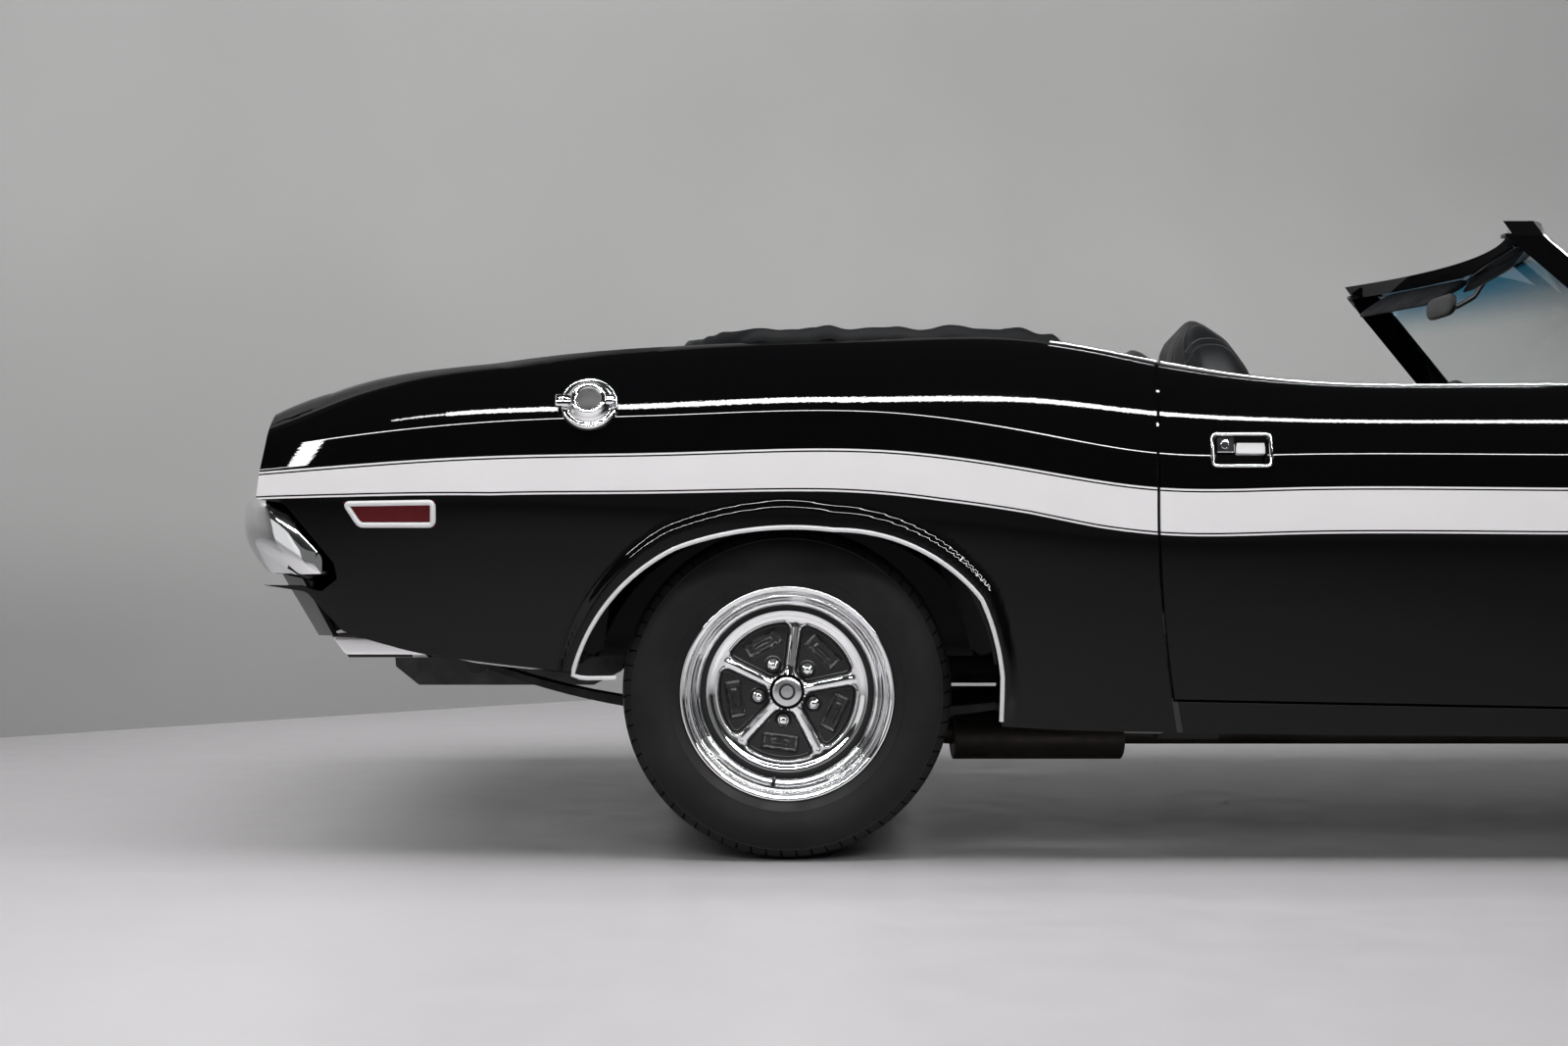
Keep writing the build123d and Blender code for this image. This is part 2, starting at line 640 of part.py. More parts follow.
def tunnel_section(inset, rise):
    """Outline of the tunnel in (y, z), narrowed by an inset and raised."""
    half, shoulder = 150 - inset, 120 - inset
    return [(-half, 200 + rise), (-shoulder, 400 + rise), (0, 440 + rise, "arc"), (shoulder, 400 + rise), (half, 200 + rise)]


def floor_pan():
    """Floor from the toe board to the tail, with the tunnel."""
    t = 12
    floor_end_x = tail_x + 212
    top = [(cowl_x - 20, 480), (680, floor_z), (-530, floor_z), (-590, 400), (-1010, 420), (-1110, 520), (-1480, 520),
           (-1560, 452), (floor_end_x, 452)]
    under = [(x, z - t) for x, z in top]
    front = slab(top + under[::-1], "Y", -wheelhouse_out, wheelhouse_out)
    side_floor = span(-530, door_front_x, -door_inner_out - 2, -wheelhouse_out, floor_z - t, floor_z)
    rear_floor = span(floor_end_x + 90, rear_x - 420, -wheelhouse_out - 180, -wheelhouse_out, 440, 452)
    pan = front + both(side_floor) + both(rear_floor) + rocker_panels() + top_well()
    # Tunnel over the gearbox and the shaft.
    shell = slab(tunnel_section(0, 0), "X", -560, cowl_x - 20)
    pan += shell & span(-560, cowl_x - 20, -200, 200, 245, 500)
    pan -= slab(tunnel_section(t, -t), "X", -700, cowl_x + 100)
    # Jacking pads under the floor edge.
    for x in jack_xs:
        for side in (RIGHT, LEFT):
            pan += span(x - 60, x + 60, side * jack_out - 35, side * jack_out + 35, jack_z, 250)
    return pan


jack_xs = (rear_x + 800, front_x - 800)
jack_out = 690
jack_z = 222


def top_well():
    """Bulkhead behind the rear seat, the well for the folded top and the panel behind it."""
    rear = deck_front_x + lid_gap
    path = [(-1112, 519), (-1112, 880), (-1124, 880), (-1124, 640), (-1520, 640), (-1520, 964), (-1532, 964),
            (-1532, 628), (-1124, 628), (-1124, 519)]
    well = slab(path, "Y", -wheelhouse_out, wheelhouse_out)
    strip = loft([crowned((x, wheelhouse_out - 1, z, 16), 22) for x, z in ((rear, belt_z + 64), (-1520, belt_z + 66))])
    x, z, out = deck_hinge
    shelf = [span(x - 5, -1531, y - hinge_width / 2, y + hinge_width / 2, z - 135, z - 123) for y in (-out, out)]
    return well + strip + shelf + lid_leaves(deck_hinge, z - 130)


def top_boot():
    """Vinyl boot over the folded top: a crowned cover with an arm along each side."""
    rest_z = belt_z + 56
    base = [(-1520 + 0.2, -640), (-1520 + 0.2, 640), (-1400, 812), (-760, 800), (-770, 700), (-1080, 660),
            (-1124, 600), (-1124, -600), (-1080, -660), (-770, -700), (-760, -800), (-1400, -812)]
    cover = slab(base, "Z", rest_z, rest_z + 120)
    rows = [(-1560, 840, belt_z + 88, 14), (-1300, 840, belt_z + 92, 36), (-1000, 840, belt_z + 92, 24),
            (-740, 840, belt_z + 86, 8)]
    cover &= loft([crowned(row, 80) for row in rows])
    for filled in (post_side, sheet_side):
        cover -= filled
        cover -= mirror(filled, about=Plane.XZ)
    return cover


def seat_profile():
    """Side outline of a high-back bucket."""
    return [(-300, 330), (150, 350), (160, 430), (120, 462), (-250, 430), (-352, 950), (-400, 1050, "arc"), (-470, 1066),
            (-520, 1030, "arc"), (-530, 960), (-420, 380)]


def front_seats():
    """Two high-back buckets on their runners."""
    seats = []
    for side in (RIGHT, LEFT):
        seat = slab(seat_profile(), "Y", -255, 255)
        taper = slab([(-255, 300), (-270, 600), (-270, 860), (-180, 1080), (180, 1080), (270, 860), (270, 600),
                      (255, 300)], "X", -600, 200)
        seat &= taper
        for y in (-215, 175):
            seat += span(-330, 120, y, y + 40, floor_z + seat_gap, 360)
        seats.append(Pos(0, side * seat_out, 0) * seat)
    return seats


seat_out = 392


def rear_seat():
    """Bench and back between the wheelhouses."""
    profile = [(-600, 400.5), (-600, 470), (-640, 505), (-900, 470), (-1010, 880), (-1080, 900), (-1110, 880),
               (-1110, 520), (-1010, 420)]
    return slab([(x, z + seat_gap) for x, z in profile], "Y", -wheelhouse_out + seat_gap, wheelhouse_out - seat_gap)


def dashboard():
    """Padded dash with an instrument hood on the driver's side."""
    back_x = cowl_x - 20 - seat_gap
    top_z = 866 - seat_gap
    profile = [(back_x, 640), (back_x, top_z), (540, top_z), (500, 850), (488, 810), (520, 700), (560, 640)]
    dash = slab(profile, "Y", -640, 640) - span(650, 830, -700, 700, 600, 700)
    binnacle = slab([(500, 700), (462, 800), (470, 870), (520, 893), (590, 880), (590, 700)], "Y", 150, 590)
    glovebox = span(480, 516, -600, -200, 705, 775)
    bore = Pos(0, 0, -151) * Cylinder(column_radius + seat_gap, 262)
    socket = Pos(*wheel_centre) * Rot(0, -90 + steering_tilt, 0) * bore
    return dash + binnacle - glovebox - socket


wheel_centre = (300, 370, 828)
steering_tilt = 22
column_radius = 26


def steering_wheel():
    """Three-spoke steering wheel on its column."""
    ring = revolve(Face(outline([(180 + dx, 0, dz) for dx, dz in (
        (-13, -5), (-13, 5), (-5, 13), (5, 13), (13, 5), (13, -5), (5, -13), (-5, -13))])), axis=Axis.Z)
    hub = Cylinder(42, 40)
    parts = ring + hub
    for k in range(3):
        parts += Rot(0, 0, 90 + 120 * k) * Pos(105, 0, 0) * Box(150, 26, 7)
    parts += Pos(0, 0, -150) * Cylinder(column_radius, 260)
    return Pos(*wheel_centre) * Rot(0, -90 + steering_tilt, 0) * parts


def console():
    """Centre console on the tunnel with the shifter."""
    profile = [(470, 410), (470, 560), (380, 560), (250, 500), (-420, 500), (-430, 410)]
    body = slab(profile, "Y", -85, 85) - slab(tunnel_section(0, seat_gap), "X", -560, 560)
    lever = Pos(180, 0, 560) * Cylinder(9, 130) + Pos(180, 0, 632) * Sphere(24)
    return body + lever


def sun_visors():
    """Visor plates and the mirror under the header."""
    z = glass_top_z + 0.1
    plate = slab([(-110, z - 62), (-96, z - 66), (4, z - 14), (4, z), (-10, z)], "Y", -185, 185)
    right = Pos(292, -322, 0) * Rot(0, 0, -14) * plate
    head = span(212, 232, -110, 110, z - 110, z - 58)
    stem = span(228, 300, -10, 10, z - 92, z - 78) + span(290, 345, -10, 10, z - 92, z)
    stem -= slab([(345.1, z + 1), (345.1, z - 40), (300, z - 100), (400, z - 100), (400, z + 1)], "Y", -20, 20)
    return both(right) + [head + stem]


# ---- Running gear ----

def tyre():
    """Radial tyre as a solid of revolution about its own centre."""
    half = tyre_width / 2
    bead = rim_width / 2 - 4
    return spin_y([(-bead, rim_bead_radius), (bead, rim_bead_radius), (half, 252), (half - 14, 308),
                   (half - 34, wheel_radius), (-half + 34, wheel_radius), (-half + 14, 308), (-half, 252)])


hub_face = 11           # mounting face, outboard of the wheel's middle
hub_bore = 36
spigot = 35
stud_circle = 114.3


def rim():
    """Five-spoke steel wheel with a trim ring: +Y is outboard."""
    e = rim_width / 2 + 4
    rim_seat = rim_bead_radius - seat_gap
    lip = rim_width / 2 - 4
    barrel = spin_y([(-e + 4, rim_seat - 12), (-e + 4, rim_seat), (lip + 0.4, rim_seat), (lip + 10, rim_flange_radius),
                     (e + 7, rim_flange_radius - 3), (e - 26, rim_seat - 12)])
    disc = spin_y([(hub_face, hub_bore), (hub_face, rim_seat - 6), (hub_face + 10, rim_seat - 6),
                   (hub_face + 10, hub_bore)])
    ring = spin_y([(hub_face + 9, 150), (hub_face + 9, rim_seat - 12), (hub_face + 42, rim_seat - 12),
                   (hub_face + 26, 152)])
    wheel = barrel + disc + ring
    cap = spin_y([(hub_face + 9.5, 0), (hub_face + 9.5, 38), (hub_face + 40, 32), (hub_face + 42, 0)])
    for k in range(spoke_count):
        turn = 360 / spoke_count * k
        ends = []
        for r, foot, top_half, rise in ((34, 13, 9, 34), (156, 20, 13, 24)):
            ends.append(Face(outline([(r, hub_face + 8, -foot), (r, hub_face + rise, -top_half),
                                      (r, hub_face + rise, top_half), (r, hub_face + 8, foot)])))
        spoke = loft(ends, ruled=True)
        wheel += Rot(0, turn - spoke_turn, 0) * spoke
    return wheel + cap


def rear_axle():
    """Axle housing with its drums, and the open leaf springs that carry it."""
    z = wheel_radius
    drum_face = rear_track / 2 + hub_face - 1
    half = [(0, 0), (0, 148), (60, 140), (120, 62), (160, 42), (drum_face - 92, 42), (drum_face - 92, 150),
            (drum_face - 82, 150), (drum_face - 76, 140), (drum_face, 136), (drum_face, spigot), (drum_face + 9, spigot),
            (drum_face + 9, 0)]
    housing = spin_y(half)
    housing += mirror(housing, about=Plane.XZ)
    axle = Pos(rear_x, 0, z) * housing
    pinion = Pos(rear_x + 190, 0, z) * Rot(0, 90, 0) * Cone(70, 45, 140)
    return axle + pinion + driveline()


spring_out = 545
spring_front_x = rear_x + 540
spring_rear_x = rear_x - 640


def leaf_springs():
    """Bowed leaf packs under the axle, with eyes, shackles and clamp plates."""
    z = wheel_radius - 42.2
    t = 26
    w = 32
    top = [(spring_front_x, 300), (rear_x + 200, z - 12, "arc"), (rear_x, z), (rear_x - 300, z + 8, "arc"),
           (spring_rear_x, 372)]
    under = [(spring_rear_x, 360), (rear_x - 300, z - 12, "arc"), (rear_x, z - t), (rear_x + 200, z - 34, "arc"),
             (spring_front_x, 288)]
    pack = slab(top + under, "Y", -spring_out - w, -spring_out + w)
    pack += Pos(spring_front_x, -spring_out, 296) * Rot(90, 0, 0) * Cylinder(30, 2 * w)
    pack += Pos(spring_rear_x, -spring_out, 366) * Rot(90, 0, 0) * Cylinder(24, 2 * w)
    pack += span(rear_x - 60, rear_x + 60, -spring_out - w - 8, -spring_out + w + 8, z - t - 10, z - t + 2)
    hanger = span(spring_front_x - 34, spring_front_x + 34, -spring_out - w - 6, -spring_out + w + 6, 300, 394.3)
    shackle = span(spring_rear_x - 14, spring_rear_x + 14, -spring_out - w, -spring_out + w, 372, 440 - seat_gap)
    return both(pack + hanger + shackle)


def driveline():
    """Gearbox case and the shaft to the axle."""
    case = loft([Face(outline([(x, -h, z - v), (x, h, z - v), (x, h, z + v), (x, -h, z + v)]))
                 for x, h, v, z in ((1050 - seat_gap, 170, 120, 335), (840, 88, 64, 316), (330, 72, 58, 312))], ruled=True)
    x0, x1 = rear_x + 255, 335
    shaft = Pos((x0 + x1) / 2, 0, 318) * Rot(0, 90, 0) * Cylinder(38, x1 - x0)
    return case + shaft


engine_low_z = 302


def engine():
    """V8 as one plain block."""
    return span(1050, 1760, -310, 310, engine_low_z, 838)


kingpin_out = front_track / 2 - 60
arm_low, arm_high = 128, 132       # wishbones below and above the wheel's centre
ball_gap = 0.5


def knuckle():
    """Steering knuckle: upright between the ball joints, spindle and brake."""
    z = wheel_radius
    upright = Pos(front_x, -kingpin_out, z + (arm_high - arm_low) / 2) * Cylinder(24, arm_high + arm_low - 2 * ball_gap)
    upright += Pos(front_x, -kingpin_out, z) * Box(52, 40, 200)
    face = front_track / 2 + hub_face - 1
    stub = spin_y([(kingpin_out - 10, 0), (kingpin_out - 10, 44), (face - 40, 44), (face - 40, 138), (face - 12, 138),
                   (face - 12, 70), (face, 70), (face, spigot), (face + 9, spigot), (face + 9, 0)])
    stub = Pos(front_x, 0, z) * mirror(stub, about=Plane.XZ)
    arm = span(front_x - 130, front_x, -kingpin_out - 12, -kingpin_out + 12, z - 90, z - 66)
    return upright + stub + arm


def front_suspension():
    """Crossmember with the wishbones that reach to the ball joints."""
    z = wheel_radius
    top = engine_low_z - seat_gap
    beam = slab([(-430, 165), (-340, 165), (-300, 222), (300, 222), (340, 165), (430, 165), (430, top), (-430, top)],
                "X", front_x - 110, front_x + 90)
    arms = []
    # low, high, how far out the root is
    for low, high, root_out in ((z - arm_low - 22, z - arm_low, 430 + seat_gap),
                                (z + arm_high, z + arm_high + 22, 462 + seat_gap)):
        plan = [(front_x - 100, -root_out), (front_x + 90, -root_out), (front_x + 24, -600),
                (front_x + 24, -kingpin_out - 12), (front_x - 24, -kingpin_out - 12), (front_x - 24, -600)]
        hole = [(front_x - 55, -root_out - 30), (front_x + 45, -root_out - 30), (front_x, -590)]
        arms += both(slab(plan, "Z", low, high) - slab(hole, "Z", low, high))
    return [beam] + arms


def front_structure():
    """Inner fenders, rails and radiator support round the engine bay."""
    t = 12
    pieces = []
    x0, x1 = cowl_x - 8, nose_x - 300
    shelf_z = hood_hinge[1] - 158
    apron = span(x0, x1, -462, -450, 302, shelf_z)
    shelf = span(x0, x1, -hood_half, -450, shelf_z - t, shelf_z)
    rail = span(x0, x1 + 90, -451, -385, 302, 400)
    side_frame = apron + shelf + rail
    for x in (front_x - 480, x1 - 40):
        side_frame += fit_inside(span(x, x + t, -half_width, -hood_half - 10, shelf_z - 40, 860))
        side_frame += span(x, x + t, -hood_half - 12, -hood_half + 12, shelf_z - t, shelf_z)
    support = span(x1 - 1, x1 + t, -640, 640, 330, shelf_z)
    support -= span(x1 - 2, x1 + t, -330, 330, 410, shelf_z - 40)
    return cowl_firewall() + both(side_frame) + support + lid_leaves(hood_hinge, shelf_z - 2)


def fuel_tank():
    """Flat tank under the boot floor."""
    tank = slab([(rear_x - 330, 439.7), (rear_x - 360, 330), (rear_x - 420, 300), (rear_x - 800, 300), (rear_x - 850, 340),
                 (rear_x - 860, 439.7)], "Y", -330, 330)
    return tank


cap_radius = 52
cap_tilt = 27


def cap_place(shape):
    """Stands a piece made along +Y on the right-hand quarter's shoulder."""
    return Pos(rear_x - 376, -half_width + 39, belt_z - 43) * Rot(180 - cap_tilt, 0, 0) * shape


def fuel_cap():
    """Round flip-up filler cap with its hinge, on the right-hand quarter."""
    cap = spin_y([(0, 0), (0, cap_radius), (8, 50), (12, 42), (24, 38), (28, 22), (28, 0)])
    hinge = span(-64, -40, 2, 20, -14, 14)
    tab = span(36, 50, 6, 24, -12, 12)
    return cap_place(cap + hinge + tab)


def exhaust():
    """Twin pipes, mufflers and rectangular tips."""
    out = 330
    tip_x = tail_x + 200
    path = FilletPolyline((tip_x + 40, -out - 207, 400), (rear_x - 690, -out - 120, 400),
                          (rear_x - 440, -out - 120, 392), (rear_x - 170, -out, 415), (rear_x + 150, -out, 415),
                          (rear_x + 330, -out, 200), (950, -out, 200), (1190, -250, 200), (1190, -250, engine_low_z - seat_gap),
                          radius=50)
    start = path % 0
    pipe = sweep(Plane(path @ 0, z_dir=start) * Circle(28), path=path)
    muffler_x0, muffler_x1 = rear_x + 360, rear_x + 720
    can = extrude(Ellipse(54, 105), amount=(muffler_x1 - muffler_x0) / 2, both=True)
    muffler = Pos((muffler_x0 + muffler_x1) / 2, -out, 194) * Rot(0, 90, 0) * can
    tip = slab([(tip_x - 8, 424), (tip_x + 30, 376), (tip_x + 160, 376), (tip_x + 160, 424)], "Y", -out - 262, -out - 152)
    tip -= slab([(tip_x - 10, 419), (tip_x + 22, 381), (tip_x + 60, 381), (tip_x + 60, 419)], "Y", -out - 257, -out - 157)
    return both(pipe + muffler + tip)


def place(shape, out, side, x):
    """Moves a wheel piece to its hub; +Y becomes outboard."""
    if side == RIGHT:
        shape = mirror(shape, about=Plane.XZ)
    return Pos(x, side * out, wheel_radius) * shape


def main():
    nodes = {}
    quarter, fender, leaf = quarter_panel(), front_fender(), door()
    nodes["quarter_panel_right"], nodes["quarter_panel_left"] = both(quarter)
    nodes["front_fender_right"], nodes["front_fender_left"] = both(fender)
    nodes["door_right"], nodes["door_left"] = both(leaf)
    nodes["knuckle_right"], nodes["knuckle_left"] = both(knuckle())
    for name, make in (
        ("hood", hood), ("deck_lid", deck_lid), ("nose_panel", nose_panel),
        ("grille", grille), ("headlamps", headlamps), ("rear_bumper", rear_bumper), ("front_bumper", front_bumper),
        ("valances", valances), ("tail_panel", tail_panel),
        ("tail_lamps", tail_lamps), ("side_markers", side_markers), ("windshield_glass", windshield_glass),
        ("windshield_frame", windshield_frame), ("floor_pan", floor_pan), ("top_boot", top_boot),
        ("front_seats", front_seats), ("rear_seat", rear_seat), ("dashboard", dashboard),
        ("steering_wheel", steering_wheel), ("console", console), ("sun_visors", sun_visors),
        ("rear_axle", rear_axle), ("leaf_springs", leaf_springs), ("engine", engine),
        ("front_suspension", front_suspension), ("front_structure", front_structure), ("fuel_tank", fuel_tank),
        ("fuel_cap", fuel_cap), ("exhaust", exhaust),
    ):
        nodes[name] = make()
    one_tyre, one_rim = tyre(), rim()
    for end, x, track in (("front", front_x, front_track), ("rear", rear_x, rear_track)):
        for side, word in ((RIGHT, "right"), (LEFT, "left")):
            nodes[f"tyre_{end}_{word}"] = place(one_tyre, track / 2, side, x)
            nodes[f"rim_{end}_{word}"] = place(one_rim, track / 2, side, x)
    os.makedirs("parts", exist_ok=True)
    for name, shape in nodes.items():
        solids = []
        for piece in shape if isinstance(shape, list) else [shape]:
            solids += piece.solids()
        export_step(Compound(children=solids) if len(solids) > 1 else solids[0], f"parts/{name}.step")


main()
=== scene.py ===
import math

import bmesh
import bpy
import numpy as np
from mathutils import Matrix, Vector


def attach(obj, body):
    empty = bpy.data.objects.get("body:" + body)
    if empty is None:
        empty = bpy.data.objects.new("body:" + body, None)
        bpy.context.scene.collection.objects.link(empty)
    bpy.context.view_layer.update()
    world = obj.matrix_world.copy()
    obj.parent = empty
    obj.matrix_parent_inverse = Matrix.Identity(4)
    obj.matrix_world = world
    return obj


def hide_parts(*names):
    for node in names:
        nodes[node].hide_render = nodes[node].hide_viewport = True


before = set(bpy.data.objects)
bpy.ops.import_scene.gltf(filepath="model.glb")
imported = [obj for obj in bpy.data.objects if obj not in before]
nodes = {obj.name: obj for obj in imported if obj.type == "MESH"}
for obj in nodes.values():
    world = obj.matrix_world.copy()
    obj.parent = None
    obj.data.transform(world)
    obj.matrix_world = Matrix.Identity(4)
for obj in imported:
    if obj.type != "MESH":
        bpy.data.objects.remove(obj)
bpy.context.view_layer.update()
scene = bpy.context.scene
print("stage: frame loaded")

# Metres. +X forward, +Y left, +Z up, as in the frame.
car = dict(rearX=-1.300, frontX=1.494, wheelZ=0.323, rearOut=0.771, frontOut=0.758)
sides = ((-1, "right"), (1, "left"))


def makeMesh(name, verts, faces, material, body, normals=None):
    # Faces come as one array, or as a list of arrays of different widths.
    me = bpy.data.meshes.new(name)
    verts = np.asarray(verts, float)
    groups = [np.asarray(f, int) for f in (faces if isinstance(faces, list) else [faces]) if len(f)]
    me.vertices.add(len(verts))
    me.vertices.foreach_set("co", verts.ravel())
    loops = np.concatenate([f.ravel() for f in groups])
    sizes = np.concatenate([np.full(len(f), f.shape[1]) for f in groups])
    me.loops.add(len(loops))
    me.loops.foreach_set("vertex_index", loops)
    me.polygons.add(len(sizes))
    me.polygons.foreach_set("loop_start", np.concatenate([[0], np.cumsum(sizes)[:-1]]))
    me.update(calc_edges=True)
    me.polygons.foreach_set("use_smooth", np.ones(len(sizes), bool))
    if normals is not None:
        me.normals_split_custom_set_from_vertices(np.asarray(normals, float).tolist())
    me.materials.append(mats[material])
    obj = bpy.data.objects.new(name, me)
    scene.collection.objects.link(obj)
    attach(obj, body)
    return obj


def pointLayer(obj, name, values):
    # A value at each vertex, for the material to read.
    layer = obj.data.attributes.new(name, "FLOAT", "POINT")
    layer.data.foreach_set("value", np.asarray(values, np.float32))


def meshPoints(me):
    co = np.zeros(len(me.vertices) * 3)
    me.vertices.foreach_get("co", co)
    return co.reshape(-1, 3)


def gridQuads(nu, nv, closeU=False, closeV=False):
    # A face between each point of a grid and its three next ones, joined round where it closes.
    a, b = np.meshgrid(np.arange(nu - (not closeU)), np.arange(nv - (not closeV)), indexing="ij")
    a1, b1 = (a + 1) % nu, (b + 1) % nv
    return np.stack([a * nv + b, a1 * nv + b, a1 * nv + b1, a * nv + b1], -1).reshape(-1, 4)


def sharpen(obj, degrees=35):
    # Smooth shading, but hard where two faces meet at more than this angle.
    me = obj.data
    me.polygons.foreach_set("use_smooth", np.ones(len(me.polygons), bool))
    me.set_sharp_from_angle(angle=math.radians(degrees))


def join(parts):
    # Puts (verts, quads) pairs into one pair.
    verts, quads, n = [], [], 0
    for v, q in parts:
        verts.append(v)
        quads.append(np.asarray(q) + n)
        n += len(v)
    return np.concatenate(verts), np.concatenate(quads)


def resample(points, step):
    # Evenly spaced points along a polyline.
    p = np.asarray(points, float)
    d = np.concatenate([[0], np.cumsum(np.linalg.norm(np.diff(p, axis=0), axis=1))])
    t = np.linspace(0, d[-1], max(int(round(d[-1] / step)), 3) + 1)
    return np.stack([np.interp(t, d, p[:, i]) for i in range(p.shape[1])], -1)


def unit(v):
    # Each row divided by its length.
    return v / np.maximum(np.linalg.norm(v, axis=-1, keepdims=True), 1e-9)


def share(v):
    # A ratio held between nought and one.
    return np.clip(v, 0, 1)


def sweep(path, profile, up, closedPath=False):
    # Carries a closed 2D profile (side, up) along a path. The side direction is tangent x up.
    path = np.asarray(path, float)
    prev, nxt = np.roll(path, 1, 0), np.roll(path, -1, 0)
    if not closedPath:
        prev[0], nxt[-1] = path[0], path[-1]
    tangent = unit(nxt - prev)
    side = unit(np.cross(tangent, np.broadcast_to(np.asarray(up, float), path.shape)))
    up = unit(np.cross(side, tangent))
    prof = np.asarray(profile, float)
    n, m = len(path), len(prof)
    verts = (path[:, None] + side[:, None] * prof[:, :1] + up[:, None] * prof[:, 1:]).reshape(-1, 3)
    quads = gridQuads(n, m, closedPath, True)
    return (verts, quads) if closedPath else capRings(verts, quads, n, m)


def capRings(verts, quads, n, m):
    # Closes the first and last of n rings of m points with fans.
    for row in (0, n - 1):
        ring = np.arange(m) + row * m
        centre = np.full(m, len(verts))
        verts = np.vstack([verts, verts[ring].mean(0)])
        quads = np.vstack([quads, np.stack([ring, np.roll(ring, -1), centre, centre], -1)])
    return verts, quads


def cappedGrid(x, y, z):
    # Rings of points, one to each row, closed at both ends.
    verts = np.stack([x, y, z], -1).reshape(-1, 3)
    return capRings(verts, gridQuads(*x.shape, closeV=True), *x.shape)


def dropDoubles(quads):
    # Splits quads with a repeated corner off as triangles.
    q = np.asarray(quads)
    same = (q[:, 2] == q[:, 3])
    return [q[~same], q[same][:, :3]]


def addNode(tree, kind, **props):
    n = tree.nodes.new(kind)
    for k, v in props.items():
        setattr(n, k, v)
    return n


def feed(tree, socket, value):
    if isinstance(value, bpy.types.NodeSocket):
        tree.links.new(value, socket)
    else:
        socket.default_value = value


def calc(tree, op, a, b=0.0, clamp=False):
    n = addNode(tree, "ShaderNodeMath", operation=op, use_clamp=clamp)
    feed(tree, n.inputs[0], a)
    feed(tree, n.inputs[1], b)
    return n.outputs[0]


def ramp(tree, value, low, high, outLow=0.0, outHigh=1.0, smooth=True):
    n = addNode(tree, "ShaderNodeMapRange", interpolation_type="SMOOTHSTEP" if smooth else "LINEAR")
    for i, v in enumerate((value, low, high, outLow, outHigh)):
        feed(tree, n.inputs[i], v)
    return n.outputs[0]


def mixColour(tree, factor, a, b):
    # Inputs 6 and 7 and output 2 are the node's colour sockets.
    n = addNode(tree, "ShaderNodeMix", data_type="RGBA")
    feed(tree, n.inputs[0], factor)
    for i, value in ((6, a), (7, b)):
        feed(tree, n.inputs[i], (*value, 1) if isinstance(value, tuple) else value)
    return n.outputs[2]


def objectCoords(tree):
    return addNode(tree, "ShaderNodeTexCoord").outputs["Object"]


def noise(tree, scale, detail=3.0, rough=0.5):
    n = addNode(tree, "ShaderNodeTexNoise")
    feed(tree, n.inputs["Vector"], objectCoords(tree))
    for socket, value in (("Scale", scale), ("Detail", detail), ("Roughness", rough)):
        feed(tree, n.inputs[socket], value)
    return n.outputs["Fac"]


def bump(tree, height, strength, distance, normal=None):
    n = addNode(tree, "ShaderNodeBump")
    n.inputs["Strength"].default_value = strength
    n.inputs["Distance"].default_value = distance
    feed(tree, n.inputs["Height"], height)
    if normal is not None:
        feed(tree, n.inputs["Normal"], normal)
    return n.outputs[0]


def newMaterial(name, colour, roughness, metallic=0.0, specular=0.5):
    m = bpy.data.materials.new(name)
    m.use_nodes = True
    tree = m.node_tree
    shader = tree.nodes["Principled BSDF"]
    shader.inputs["Base Color"].default_value = (*colour, 1)
    shader.inputs["Roughness"].default_value = roughness
    shader.inputs["Metallic"].default_value = metallic
    shader.inputs["Specular IOR Level"].default_value = specular
    m.diffuse_color = (*colour, 1)
    return m, tree, shader


def wire(tree, shader, colour=None, roughness=None, normal=None):
    for socket, value in (("Base Color", colour), ("Roughness", roughness), ("Normal", normal)):
        if value is not None:
            tree.links.new(value, shader.inputs[socket])


def split(tree, vector):
    n = addNode(tree, "ShaderNodeSeparateXYZ")
    feed(tree, n.inputs[0], vector)
    return n.outputs


def newGroup(name, inputs, outputs):
    # A node group and its two ends. A socket is a colour where its name says so, and a number elsewhere.
    group = bpy.data.node_groups.new(name, "ShaderNodeTree")
    for way, names in (("INPUT", inputs), ("OUTPUT", outputs)):
        for key in names:
            kind = "NodeSocketColor" if "Colour" in key else "NodeSocketFloat"
            group.interface.new_socket(key, in_out=way, socket_type=kind)
    return group, addNode(group, "NodeGroupInput").outputs, addNode(group, "NodeGroupOutput").inputs


def useGroup(tree, name, *values):
    # Places a group in a material, with its own values in the order of the sockets.
    n = addNode(tree, "ShaderNodeGroup", node_tree=bpy.data.node_groups[name])
    for socket, value in zip(n.inputs, values):
        feed(tree, socket, (*value, 1) if isinstance(value, tuple) else value)
    return n.outputs


